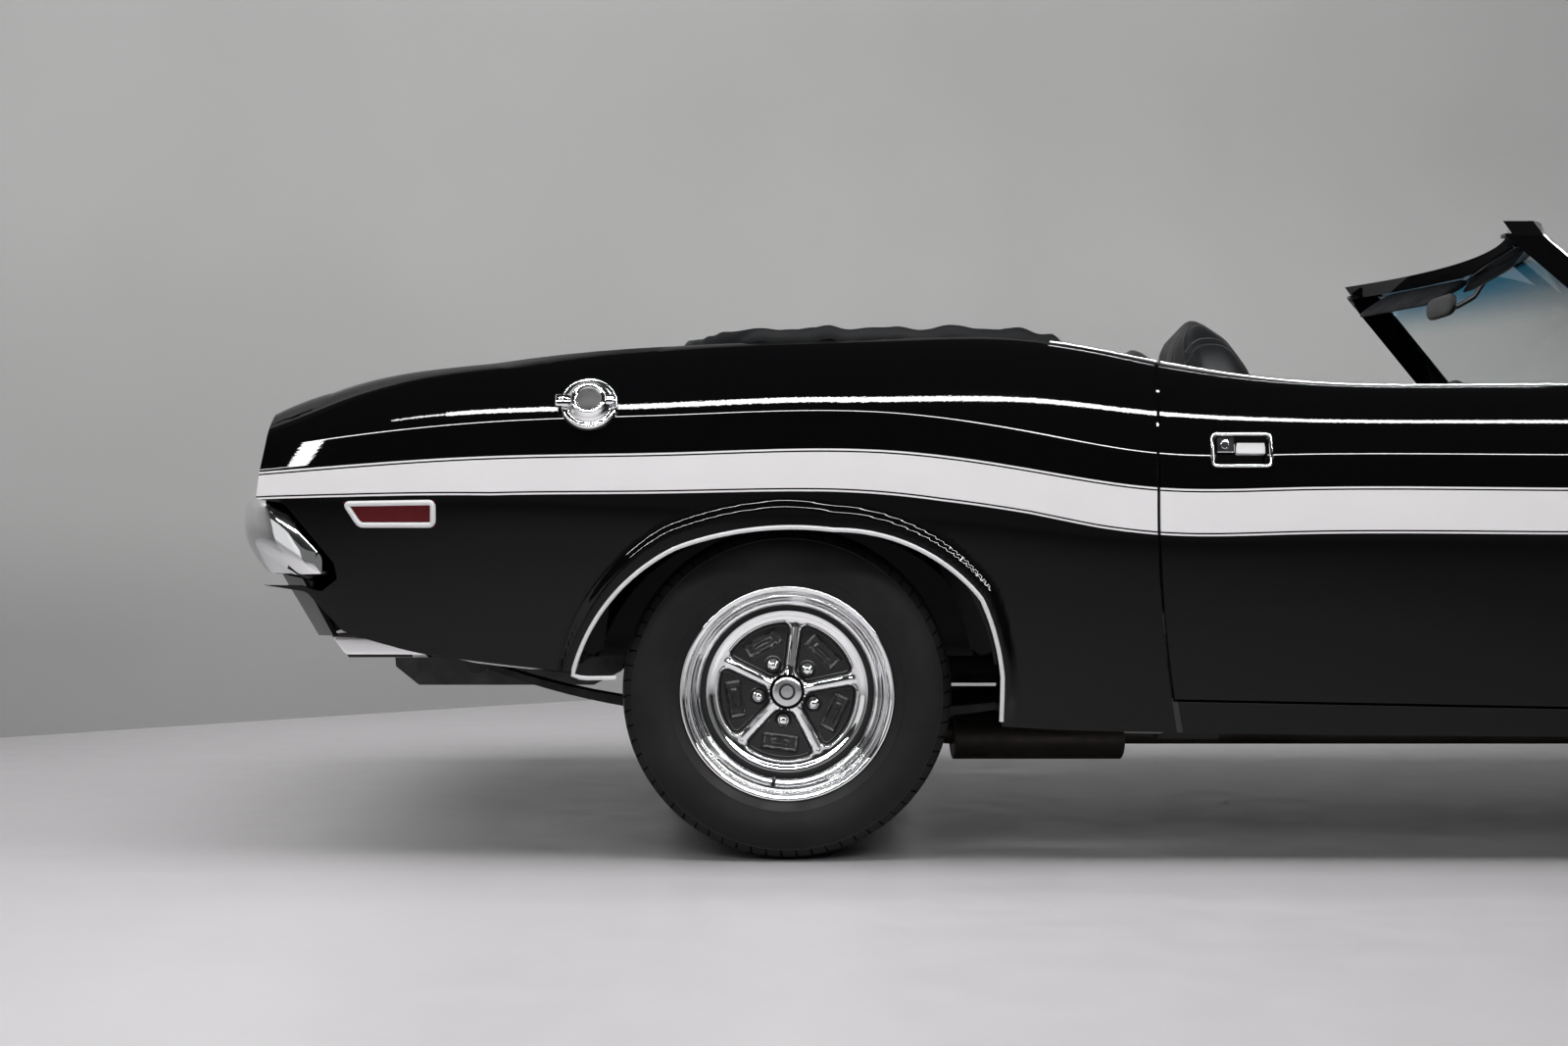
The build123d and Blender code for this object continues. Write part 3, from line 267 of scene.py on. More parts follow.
def buildGroups():
    # Worn grain: a roughness that rises in soft patches, and the height of a fine grain.
    group, given, put = newGroup("wornGrain", ["Patch Scale", "Patch Detail", "From", "To", "Smooth", "Rough",
                                               "Grain Scale", "Grain Detail"], ["Roughness", "Height"])
    patches = noise(group, given["Patch Scale"], given["Patch Detail"])
    patches = ramp(group, patches, *(given[key] for key in ("From", "To", "Smooth", "Rough")))
    feed(group, put["Roughness"], patches)
    feed(group, put["Height"], noise(group, given["Grain Scale"], given["Grain Detail"]))
    # Blotches: two colours mixed where a noise climbs from one level to the next.
    group, given, put = newGroup("blotches", ["Scale", "Detail", "Fineness", "From", "To", "First Colour",
                                              "Second Colour"], ["Colour"])
    mask = noise(group, given["Scale"], given["Detail"], given["Fineness"])
    mask = ramp(group, mask, given["From"], given["To"])
    feed(group, put["Colour"], mixColour(group, mask, given["First Colour"], given["Second Colour"]))
    # Moulded ribs: the product of two rectified sines, one along the body and one up it.
    group, given, put = newGroup("mouldedRibs", ["Along", "Up"], ["Rows", "Height"])
    x, y, z = split(group, objectCoords(group))
    ribs, rows = (calc(group, "ABSOLUTE", calc(group, "SINE", calc(group, "MULTIPLY", v, given[pitch])))
                  for v, pitch in ((calc(group, "ADD", x, y), "Along"), (z, "Up")))
    # The rows output also masks painted shade into the grooves between the ribs.
    feed(group, put["Rows"], rows)
    feed(group, put["Height"], calc(group, "MULTIPLY", ribs, rows))
    # Hide cells: small cells with a narrow crack between them.
    group, given, put = newGroup("hideCells", ["Scale", "Crack"], ["Height"])
    cell = addNode(group, "ShaderNodeTexVoronoi", feature="DISTANCE_TO_EDGE")
    feed(group, cell.inputs["Vector"], objectCoords(group))
    feed(group, cell.inputs["Scale"], given["Scale"])
    feed(group, put["Height"], ramp(group, cell.outputs["Distance"], 0.0, given["Crack"]))


def wear(tree, shader, colour, rough, relief, under=None):
    # rough: a noise's scale and detail, its range, the roughness at both ends.
    # relief: a noise's scale and detail, the bump's strength and depth.
    wearAndPaintedFalloff = useGroup(tree, "wornGrain", *rough, *relief[:2])
    wire(tree, shader, colour, wearAndPaintedFalloff["Roughness"], bump(tree, wearAndPaintedFalloff["Height"], *relief[2:], under))


def blotches(tree, grain, low, high, a, b):
    # grain: the noise's scale, detail and roughness.
    return useGroup(tree, "blotches", *grain, low, high, a, b)["Colour"]


buildGroups()

paintInfo = dict(black=(0.0022, 0.0022, 0.0025), coatIor=1.33, edge=0.00035, line=0.0034, band=0.0064)


def paintMaterial(name, striped):
    mat, tree, shader = newMaterial(name, paintInfo["black"], 0.6, 0.0, 0.0)
    shader.inputs["Coat Weight"].default_value = 1.0
    shader.inputs["Coat IOR"].default_value = paintInfo["coatIor"]
    # Orange peel: a very shallow, fine swell of the clear coat.
    peel = bump(tree, noise(tree, 260.0, 1.0), 0.03, 0.0005)
    tree.links.new(peel, shader.inputs["Coat Normal"])
    # Faint polishing haze, a little rougher in patches.
    haze = ramp(tree, noise(tree, 3.0, 4.0), 0.35, 0.75, 0.012, 0.035)
    tree.links.new(haze, shader.inputs["Coat Roughness"])
    if striped:
        drop = addNode(tree, "ShaderNodeAttribute", attribute_name="stripeDrop").outputs["Fac"]
        width = addNode(tree, "ShaderNodeAttribute", attribute_name="stripeWidth").outputs["Fac"]
        depth = calc(tree, "MINIMUM", drop, calc(tree, "SUBTRACT", width, drop))
        # Depth into the stripe: a white line of 3.4 mm, a black one of 3 mm, then the white band.
        edge, line, band = paintInfo["edge"], paintInfo["line"], paintInfo["band"]
        ending = ramp(tree, depth, line - edge, line + edge, 1.0, 0.0)
        inLine = calc(tree, "MULTIPLY", ramp(tree, depth, -edge, edge), ending)
        mask = calc(tree, "ADD", inLine, ramp(tree, depth, band - edge, band + edge), clamp=True)
        tint = mixColour(tree, noise(tree, 9.0, 2.0), (0.93, 0.915, 0.92), (0.98, 0.97, 0.975))
        wire(tree, shader, mixColour(tree, mask, paintInfo["black"], tint))
    return mat


def chromeMaterial(name, dull=0.045, tint=(0.86, 0.865, 0.875)):
    mat, tree, shader = newMaterial(name, tint, dull, 1.0)
    wear(tree, shader, None, (14.0, 5.0, 0.45, 0.8, dull, dull + 0.07), (30.0, 1.0, 0.05, 0.001))
    return mat


def plasticMaterial(name, colour, roughness, grain=900.0, depth=0.0002):
    mat, tree, shader = newMaterial(name, colour, roughness)
    wear(tree, shader, None, (6.0, 4.0, 0.3, 0.8, roughness * 0.85, min(roughness * 1.2, 1.0)),
         (grain, 2.0, 0.35, depth))
    return mat


def vinylMaterial(name, colour, roughness):
    mat, tree, shader = newMaterial(name, colour, roughness, 0.0, 0.10)
    # Grain: the cracks between small cells, with a broader noise on top.
    grain = bump(tree, useGroup(tree, "hideCells", 420.0, 0.12)["Height"], 0.35, 0.0004)
    dusty = blotches(tree, (5.0, 5.0, 0.5), 0.5, 0.85, colour, tuple(c * 2.2 for c in colour))
    wear(tree, shader, dusty, (12.0, 4.0, 0.3, 0.8, roughness - 0.08, roughness + 0.14),
         (70.0, 4.0, 0.25, 0.0012), grain)
    return mat


def metalMaterial(name, colour, roughness, metallic, stain, scale=8.0):
    mat, tree, shader = newMaterial(name, colour, roughness, metallic)
    wear(tree, shader, blotches(tree, (scale, 6.0, 0.6), 0.4, 0.7, colour, stain),
         (scale * 3, 4.0, 0.3, 0.7, roughness * 0.8, min(roughness * 1.3, 1.0)), (240.0, 4.0, 0.3, 0.0005))
    return mat


def rubberMaterial(name):
    mat, tree, shader = newMaterial(name, (0.008, 0.0077, 0.0077), 0.55, 0.0, 0.2)
    bloom = blotches(tree, (7.0, 5.0, 0.5), 0.4, 0.8, (0.0060, 0.0058, 0.0058), (0.013, 0.012, 0.0115))
    wear(tree, shader, bloom, (18.0, 4.0, 0.3, 0.7, 0.48, 0.68), (500.0, 3.0, 0.3, 0.0003))
    return mat


def glassMaterial(name, clear=(0.93, 0.97, 0.955)):
    mat, tree, shader = newMaterial(name, clear, 0.0)
    shader.inputs["Transmission Weight"].default_value = 1.0
    shader.inputs["IOR"].default_value = 1.45
    # Blue shade band along the top edge, fading downwards.
    band = ramp(tree, split(tree, objectCoords(tree))[2], 1.13, 1.235)
    wire(tree, shader, mixColour(tree, band, clear, (0.05, 0.28, 0.45)))
    return mat


def lensMaterial(name, colour, rough=0.08, mirrored=0.0):
    mat, tree, shader = newMaterial(name, colour, rough, mirrored, 0.2)
    shader.inputs["Coat Weight"].default_value = 0.4
    shader.inputs["Coat Roughness"].default_value = 0.02
    # Moulded ribs behind the smooth face, with painted shade darkening the grooves between the rows.
    ribs = useGroup(tree, "mouldedRibs", 900.0, 700.0)
    wire(tree, shader, mixColour(tree, ribs["Rows"], tuple(c * 0.35 for c in colour), colour), None,
         bump(tree, ribs["Height"], 0.5, 0.0008))
    return mat


mats = dict(
    paint=paintMaterial("paintBlack", False),
    stripe=paintMaterial("paintStriped", True),
    chrome=chromeMaterial("chrome"),
    brightTrim=chromeMaterial("brightTrim", 0.12, (0.78, 0.78, 0.79)),
    satinTrim=plasticMaterial("satinTrim", (0.78, 0.78, 0.79), 0.30, 60.0, 0.00005),
    capSilver=chromeMaterial("capSilver", 0.22, (0.62, 0.62, 0.63)),
    handleDark=plasticMaterial("handleDark", (0.004, 0.004, 0.004), 0.6),
    rubber=rubberMaterial("rubber"),
    vinyl=vinylMaterial("vinyl", (0.0050, 0.0056, 0.0068), 0.50),
    seatVinyl=vinylMaterial("seatVinyl", (0.011, 0.012, 0.014), 0.4),
    glass=glassMaterial("glass"),
    blackPlastic=plasticMaterial("blackPlastic", (0.012, 0.012, 0.013), 0.45),
    underbody=plasticMaterial("underbody", (0.01, 0.01, 0.01), 0.7, 200.0, 0.0006),
    iron=metalMaterial("iron", (0.030, 0.028, 0.027), 0.65, 0.3, (0.018, 0.015, 0.013)),
    exhaust=metalMaterial("exhaust", (0.060, 0.052, 0.044), 0.50, 0.6, (0.030, 0.022, 0.016), 5.0),
    tank=metalMaterial("tank", (0.075, 0.075, 0.078), 0.50, 0.6, (0.045, 0.045, 0.0468)),
    redLens=lensMaterial("redLens", (0.13, 0.003, 0.006)),
    clearLens=lensMaterial("clearLens", (0.80, 0.82, 0.84), 0.14, 0.75),
)
print("stage: materials")

# Finish of the CAD's own nodes; a name that ends in _ stands for a right and a left one.
keepFinish = dict(
    paint=["quarter_panel_", "front_fender_", "door_", "hood", "deck_lid", "nose_panel", "tail_panel",
           "valances", "windshield_frame"],
    chrome=["rear_bumper", "front_bumper", "fuel_cap", "rim_front_", "rim_rear_"],
    blackPlastic=["grille", "dashboard", "console", "steering_wheel"],
    clearLens=["headlamps"],
    redLens=["tail_lamps", "side_markers"],
    glass=["windshield_glass"],
    underbody=["floor_pan", "front_structure"],
    vinyl=["top_boot", "sun_visors"],
    seatVinyl=["front_seats", "rear_seat"],
    iron=["engine", "front_suspension", "rear_axle", "leaf_springs", "knuckle_"],
    tank=["fuel_tank"],
    exhaust=["exhaust"],
    rubber=["tyre_front_", "tyre_rear_"],
)
for finish, names in keepFinish.items():
    for name in names:
        for word in ("right", "left") if name.endswith("_") else ("",):
            data = nodes[name + word].data
            data.materials.clear()
            data.materials.append(mats[finish])
            sharpen(nodes[name + word], 30)
print("stage: frame materials")


def stageMesh(name, verts, faces, material):
    me = bpy.data.meshes.new(name)
    me.from_pydata(verts, [], faces)
    for p in me.polygons:
        p.use_smooth = True
    me.materials.append(material)
    obj = bpy.data.objects.new(name, me)
    scene.collection.objects.link(obj)


def floorMaterial():
    mat, tree, shader = newMaterial("floorPaint", (0.66, 0.645, 0.66), 0.30)
    shade = blotches(tree, (0.6, 4.0, 0.5), 0.3, 0.75, (0.655, 0.637, 0.655), (0.70, 0.682, 0.70))
    # Painted light falloff: darker under the wall and towards both ends, round a painted pool of light before
    # the car.
    x, y, z = split(tree, objectCoords(tree))
    away = calc(tree, "POWER", calc(tree, "ABSOLUTE", calc(tree, "ADD", x, 1.6)), 2.0)
    keep = calc(tree, "MAXIMUM", calc(tree, "SUBTRACT", 1.0, calc(tree, "MULTIPLY", away, 0.055)), 0.6)
    # Painted shade factor: one in the lit middle, lower towards the wall and the ends.
    wearAndPaintedFalloff = calc(tree, "MULTIPLY", ramp(tree, y, -2.4, 0.4, 1.0, 0.80), keep)
    wear(tree, shader, mixColour(tree, wearAndPaintedFalloff, (0.0, 0.0, 0.0), shade), (9.0, 5.0, 0.3, 0.75, 0.29, 0.35),
         (90.0, 2.0, 0.04, 0.001))
    return mat


def wallMaterial():
    mat, tree, shader = newMaterial("wallPaint", (0.42, 0.42, 0.42), 0.75)
    x, y, height = split(tree, objectCoords(tree))
    shade = blotches(tree, (0.7, 5.0, 0.5), 0.3, 0.75, (0.405, 0.405, 0.402), (0.435, 0.435, 0.432))
    # Painted light and shade: lighter to the right and at mid height, painted shade along the foot.
    gain = ramp(tree, x, -3.8, 2.6, 0.76, 1.46, False)
    for levels in ((0.25, 0.75, 0.92, 1.16), (1.5, 2.6, 1.0, 0.86)):
        gain = calc(tree, "MULTIPLY", gain, ramp(tree, height, *levels))
    # The wall colour is scaled by this painted light gain.
    lit = addNode(tree, "ShaderNodeVectorMath", operation="SCALE")
    feed(tree, lit.inputs[0], shade)
    feed(tree, lit.inputs["Scale"], gain)
    wire(tree, shader, lit.outputs[0])
    # Clear from behind, so that the car shows from every side.
    mix = addNode(tree, "ShaderNodeMixShader")
    back = addNode(tree, "ShaderNodeNewGeometry").outputs["Backfacing"]
    clear = addNode(tree, "ShaderNodeBsdfTransparent").outputs[0]
    for socket, value in zip(mix.inputs, (back, shader.outputs[0], clear)):
        tree.links.new(value, socket)
    tree.links.new(mix.outputs[0], tree.nodes["Material Output"].inputs["Surface"])
    return mat


# Wall: its foot runs away from the camera, then bends to follow the car.
room = dict(half=14.0, height=6.0,
            foot=[(-9.0, -3.2), (-3.69, 1.55), (-2.03, 2.98), (0.2, 4.5), (2.6, 5.4), (6.0, 6.0),
                  (13.0, 6.2)])


def buildStage():
    s = room["half"]
    stageMesh("floor", [(-s, -s, 0), (s, -s, 0), (s, s, 0), (-s, s, 0)], [(0, 1, 2, 3)], floorMaterial())
    line = resample(room["foot"], 0.4)
    for _ in range(6):
        line[1:-1] = (line[:-2] + line[1:-1] * 2 + line[2:]) / 4
    verts = [(x, y, z) for x, y in line for z in (0.0, room["height"])]
    faces = [(2 * i, 2 * i + 2, 2 * i + 3, 2 * i + 1) for i in range(len(line) - 1)]
    stageMesh("wall", verts, faces, wallMaterial())


def areaLight(name, size, location, target, power, seen):
    # seen: "diffuse" lights the room only, "glossy" is only mirrored in paint and chrome.
    data = bpy.data.lights.new(name, "AREA")
    data.shape = "RECTANGLE"
    data.size, data.size_y = size
    data.energy = power
    obj = bpy.data.objects.new(name, data)
    scene.collection.objects.link(obj)
    obj.location = location
    obj.rotation_euler = (Vector(target) - Vector(location)).to_track_quat("-Z", "Y").to_euler()
    obj.visible_glossy = seen != "diffuse"
    obj.visible_diffuse = seen != "glossy"
    obj.visible_transmission = seen != "diffuse"


# name, size, place, aim, watts, seen by
lightTable = [
    ("ceiling", (9.0, 2.6), (-0.8, -1.6, 4.6), (-0.8, -0.6, 0.0), 280, "diffuse"),
    ("wallWash", (9.0, 1.4), (-1.4, 0.6, 4.8), (-1.8, 4.0, 1.2), 150, "diffuse"),
    ("frontFill", (6.0, 2.0), (-1.6, -6.5, 3.2), (-1.3, 0.0, 0.4), 138, "diffuse"),
    ("frontCard", (16.0, 2.8), (-1.3, -8.5, 1.25), (-1.3, 0.0, 1.0), 20, "glossy"),
    ("sideCard", (5.0, 3.0), (-8.6, -5.6, 1.5), (-2.3, -0.9, 0.6), 34, "glossy"),
    ("rowThick", (10.2, 0.13), (1.95, -1.97, 4.2), (1.95, -0.94, 0.86), 217, "glossy"),
    ("rowEnd", (0.45, 0.06), (-3.37, -1.97, 4.2), (-3.37, -0.94, 0.86), 3.2, "glossy"),
    ("rowThin", (14.0, 0.22), (0.0, -4.68, 4.2), (0.0, -0.94, 0.86), 700, "glossy"),
]


def buildLights():
    for row in lightTable:
        areaLight(*row)
    world = bpy.data.worlds.new("room")
    scene.world = world
    world.use_nodes = True
    world.node_tree.nodes["Background"].inputs[0].default_value = (0.5, 0.51, 0.52, 1)
    world.node_tree.nodes["Background"].inputs[1].default_value = 0.045


def buildCamera():
    data = bpy.data.cameras.new("camera")
    data.lens, data.sensor_width = 50.0, 36.0
    obj = bpy.data.objects.new("camera", data)
    scene.collection.objects.link(obj)
    obj.location = (-1.306, -5.068, 0.652)
    obj.rotation_euler = (math.radians(90), 0, 0)
    scene.camera = obj


buildStage()
buildLights()
buildCamera()
scene.render.engine = "CYCLES"
scene.render.resolution_x, scene.render.resolution_y = 1600, 1067
scene.cycles.samples = 160
scene.cycles.use_denoising = True
scene.cycles.max_bounces = 10
scene.cycles.transparent_max_bounces = 12
scene.view_settings.view_transform = "Standard"
print("stage: camera and light")

# Body side, in mm: x, low in, low z, crease in, crease z, shoulder in, shoulder rise, ridge in, ridge z,
# top in. "in" is measured in from half the width. The same stations shape the solids.
sideStations = [
    (-2340, 116, 525, 92, 748, 112, 52, 186, 840, 326),
    (-2190, 92, 450, 62, 759, 80, 58, 170, 908, 326),
    (-1875, 62, 377, 24, 778, 44, 70, 152, 963, 326),
    (-1510, 42, 340, 4, 785, 24, 76, 146, 997, 326),
    (-1100, 40, 280, 0, 788, 20, 76, 138, 1010, 290),
    (-840, 41, 254, 4, 754, 24, 72, 132, 1009, 230),
    (-600, 43, 246, 9, 719, 27, 64, 128, 968, 186),
    (-350, 45, 242, 11, 719, 29, 61, 124, 929, 186),
    (94, 46, 238, 12, 719, 30, 61, 121, 919, 266),
    (894, 46, 236, 12, 719, 30, 60, 119, 908, 266),
    (1494, 50, 250, 8, 717, 28, 58, 118, 892, 266),
    (1994, 72, 310, 34, 709, 54, 52, 140, 860, 266),
    (2340, 112, 440, 84, 693, 104, 42, 180, 820, 266),
]
sideInfo = dict(halfWidth=0.966, swell=0.002, brow=0.014, proud=0.0008, bridge=0.0018, cell=0.0075, hem=0.010,
                band=0.0070, steeper=1.5)


def naturalSpline(x, xs, ys):
    # Cubic through every station, its curvature zero at both ends.
    n, h = len(xs), np.diff(xs)
    a, b = np.zeros((n, n)), np.zeros((n, ys.shape[1]))
    a[0, 0] = a[-1, -1] = 1
    for i in range(1, n - 1):
        a[i, i - 1:i + 2] = h[i - 1], 2 * (h[i - 1] + h[i]), h[i]
        b[i] = 6 * ((ys[i + 1] - ys[i]) / h[i] - (ys[i] - ys[i - 1]) / h[i - 1])
    m = np.linalg.solve(a, b)
    k = np.clip(np.searchsorted(xs, x) - 1, 0, n - 2)
    t0, t1, hk = (xs[k + 1] - x)[..., None], (x - xs[k])[..., None], h[k][..., None]
    cubic = (m[k] * t0 ** 3 + m[k + 1] * t1 ** 3) / (6 * hk)
    return cubic + (ys[k] / hk - m[k] * hk / 6) * t0 + (ys[k + 1] / hk - m[k + 1] * hk / 6) * t1


stationTable = np.array(sideStations, float) / 1000


def sideLines(x):
    # (out, z) of the low edge, crease, shoulder, ridge and top flange at x.
    c = naturalSpline(np.asarray(x, float), stationTable[:, 0], stationTable[:, 1:])
    lowIn, lowZ, creaseIn, creaseZ, shIn, shRise, ridgeIn, ridgeZ, topIn = np.moveaxis(c, -1, 0)
    w = sideInfo["halfWidth"]
    return ((w - lowIn, lowZ + 0.008), (w - creaseIn, creaseZ), (w - shIn, creaseZ + shRise),
            (w - ridgeIn, ridgeZ), (w - topIn, ridgeZ - 0.008))


def circle(p, q, r):
    # Centre of the circle through three points.
    a, b, c, d = p[0] - r[0], p[1] - r[1], q[0] - r[0], q[1] - r[1]
    e = (a * (p[0] + r[0]) + b * (p[1] + r[1])) / 2
    f = (c * (q[0] + r[0]) + d * (q[1] + r[1])) / 2
    det = a * d - b * c
    return np.array([(d * e - b * f) / det, (a * f - c * e) / det])


def onArc(p, q, r, z):
    # Out at height z on the circle through three (out, z) points.
    o, h = circle(p, q, r)
    radius = np.hypot(p[0] - o, p[1] - h)
    return o + np.sqrt(np.maximum(radius ** 2 - (z - h) ** 2, 0))


def plainOut(x, z):
    # Two arcs with a straight fold between them: low edge to crease, shoulder to ridge.
    low, crease, shoulder, ridge, top = sideLines(x)
    mid = (0.35 * low[0] + 0.65 * crease[0] + sideInfo["swell"], (low[1] - 0.008 + crease[1]) / 2)
    brow = ((shoulder[0] + ridge[0]) / 2 + sideInfo["brow"], (shoulder[1] + ridge[1]) / 2 + sideInfo["brow"])
    between = crease[0] + (shoulder[0] - crease[0]) * (z - crease[1]) / (shoulder[1] - crease[1])
    return np.where(z < crease[1], onArc(low, mid, crease, z),
                    np.where(z < shoulder[1], between, onArc(shoulder, brow, ridge, z)))


def cadShift(node, side, x, z):
    # Smoothed difference between the solid's outer face and the formula.
    co = meshPoints(nodes[node].data)
    pick = np.abs(co[:, 1] * side - plainOut(co[:, 0], co[:, 2])) < 0.0035
    px, pz = co[pick, 0], co[pick, 2]
    diff = co[pick, 1] * side - plainOut(px, pz)
    gx, gz = x.ravel(), z.ravel()
    total, weight = np.zeros(len(gx)), np.full(len(gx), 1e-9)
    for s in range(0, len(gx), 4000):
        g = slice(s, s + 4000)
        w = np.exp(-((gx[g, None] - px) ** 2 + (gz[g, None] - pz) ** 2) / (2 * 0.035 ** 2))
        total[g], weight[g] = w @ diff, w.sum(1) + 1e-9
    return (total / weight).reshape(x.shape)


def arcThrough(p, q, r, n):
    # Points on the arc from p through q to r.
    c = circle(p, q, r)
    angles = [math.atan2(*(v - c)[::-1]) for v in (p, q, r)]
    for i in (1, 2):
        while angles[i] - angles[i - 1] > math.pi:
            angles[i] -= 2 * math.pi
        while angles[i] - angles[i - 1] < -math.pi:
            angles[i] += 2 * math.pi
    t = np.linspace(angles[0], angles[2], n)
    radius = np.linalg.norm(p - c)
    return c + radius * np.stack([np.cos(t), np.sin(t)], -1)


def tracePath(points):
    # Points in mm; one marked "arc" is the middle of a bend to the next.
    out = [np.array(points[0][:2], float)[None]]
    i = 1
    while i < len(points):
        if len(points[i]) == 3:
            out.append(arcThrough(out[-1][-1], points[i][:2], points[i + 1][:2], 48)[1:])
            i += 2
        else:
            out.append(np.array(points[i][:2], float)[None])
            i += 1
    return np.concatenate(out) / 1000


rearArch = tracePath([
    (-1715, 180), (-1711, 356), (-1631, 512, "arc"), (-1510, 605), (-1370, 639, "arc"), (-1212, 639),
    (-1042, 598, "arc"), (-933, 509), (-902, 420, "arc"), (-892, 270), (-890, 180)])
frontArch = tracePath([
    (1078, 180), (1080, 330), (1164, 533, "arc"), (1374, 648), (1494, 657, "arc"), (1614, 648),
    (1824, 536, "arc"), (1908, 340), (1910, 180)])
bumperNotch = tracePath([(-2500, 699), (-2322, 699), (-2265, 689), (-2168, 575), (-2162, 545), (-2195, 520),
                         (-2240, 532), (-2500, 532)])
tailCut = tracePath([(-2370, 541), (-2225, 520), (-2140, 428), (-2140, 200), (-2370, 200)])
noseCut = tracePath([(2370, 600), (2265, 540), (2265, 200), (2500, 200), (2500, 600)])
noseTop = tracePath([(2280, 960), (2280, 900), (2342, 810), (2400, 700), (2500, 700), (2500, 960)])


def inside(x, z, poly):
    # A point is inside where a line from it crosses the outline an odd number of times.
    hit = np.zeros(x.shape, bool)
    for (x0, z0), (x1, z1) in zip(poly, np.roll(poly, -1, 0)):
        cross = (z0 > z) != (z1 > z)
        with np.errstate(divide="ignore", invalid="ignore"):
            hit ^= cross & (x < (x1 - x0) * (z - z0) / (z1 - z0) + x0)
    return hit


def nearest(x, z, poly):
    # Nearest point on a closed polyline, and its distance.
    a, b = poly, np.roll(poly, -1, 0)
    ab = b - a
    p = np.stack([x, z], -1)[:, None]
    t = share(((p - a) * ab).sum(-1) / np.maximum((ab ** 2).sum(-1), 1e-12))
    q = a + t[..., None] * ab
    d = np.linalg.norm(p - q, axis=-1)
    k = d.argmin(1)
    r = np.arange(len(x))
    return q[r, k], d[r, k]


# Width of the band for the turn round the wheel, in degrees from straight forward.
bandWidths = [(-20, 0.021), (10, 0.022), (50, 0.032), (90, 0.046), (130, 0.040), (170, 0.026), (200, 0.023)]


def flareOut(x, z, arch, height):
    # The raised band round a wheel opening, broadest over the top, with a quick step at its outer edge.
    gap = nearest(x.ravel(), z.ravel(), arch)[1].reshape(x.shape)
    mid = (arch[:, 0].min() + arch[:, 0].max()) / 2
    turn = np.degrees(np.arctan2(z - 0.35, x - mid))
    band = np.interp(turn, *np.array(bandWidths).T)
    t = share((band + 0.010 - gap) / 0.022)
    return height * t * t * (3 - 2 * t) * share((z - 0.27) / 0.05)


# Tilt of the paint above the shoulder fold, in degrees, for x in metres.
browTilt = np.array([(-2.4, 30), (-2.0, 31), (-1.7, 33.2), (-1.05, 33.0), (-0.85, 27.5), (-0.6, 24.5),
                     (0.2, 24.0), (2.4, 24.0)])


def skinGrid(xA, xB, zBottom, zTop, rows):
    # Cells between the side's own lines, settled in a few rounds as x depends on z at both ends.
    nx = int(np.max(xB(np.array([0.6])) - xA(np.array([0.6]))) / sideInfo["cell"])
    s = np.linspace(0, 1, nx + 1)[:, None]
    t = [np.linspace(i, i + 1, n, endpoint=False) for i, n in enumerate(rows)]
    t = np.concatenate(t + [[len(rows)]])[None]
    k = np.clip(t.astype(int), 0, len(rows) - 1)
    f = t - k
    z = np.full((nx + 1, t.shape[1]), 0.6)
    for _ in range(6):
        x = xA(z) + (xB(z) - xA(z)) * s
        low, crease, shoulder, ridge, top = sideLines(x)
        bottom = low[1] if zBottom is None else zBottom(x)
        levels = [bottom, crease[1], shoulder[1], ridge[1]][:len(rows) + 1]
        if zTop is not None:
            levels[-1] = zTop(x)
        stack = np.stack(levels, -1)
        kk = np.broadcast_to(k, x.shape)[..., None]
        below, above = (np.take_along_axis(stack, kk + i, -1)[..., 0] for i in (0, 1))
        z = below * (1 - f) + above * f
    return x, z


def cutHoles(x, z, holes):
    # Drops the cells inside each hole and moves the points left in it on to its outline.
    quads = gridQuads(*x.shape)
    gx, gz = x.ravel().copy(), z.ravel().copy()
    for hole in holes:
        dead = inside(gx, gz, hole)
        quads = quads[~dead[quads].all(1)]
        move = dead & np.isin(np.arange(len(gx)), quads)
        gx[move], gz[move] = nearest(gx[move], gz[move], hole)[0].T
    used, back = np.unique(quads, return_inverse=True)
    return gx[used], gz[used], back.reshape(quads.shape)


def addHem(verts, quads, normals, side):
    # Turns every border inwards. The hem's first row repeats the edge, so that the corner stays crisp.
    edges = np.concatenate([quads[:, [i, (i + 1) % 4]] for i in range(4)])
    key = np.sort(edges, 1) @ np.array([len(verts), 1])
    inverse, count = np.unique(key, return_inverse=True, return_counts=True)[1:]
    used, back = np.unique(edges[count[inverse] == 1], return_inverse=True)
    base, m = len(verts), len(used)
    verts = np.concatenate([verts, verts[used], verts[used] - np.array([0, side * sideInfo["hem"], 0])])
    r = back.reshape(-1, 2) + base
    hem = np.stack([r[:, 1], r[:, 0], r[:, 0] + m, r[:, 1] + m], -1)
    # Average face normal of the hem at each of its rim points.
    a, b, c = (verts[hem[:, i]] for i in range(3))
    face = unit(np.cross(b - a, c - b))
    total = np.zeros((m, 3))
    for col in (0, 1):
        np.add.at(total, hem[:, col] - base, face)
    total = unit(total + 1e-9)
    return verts, np.concatenate([quads, hem]), np.concatenate([normals, total, total])


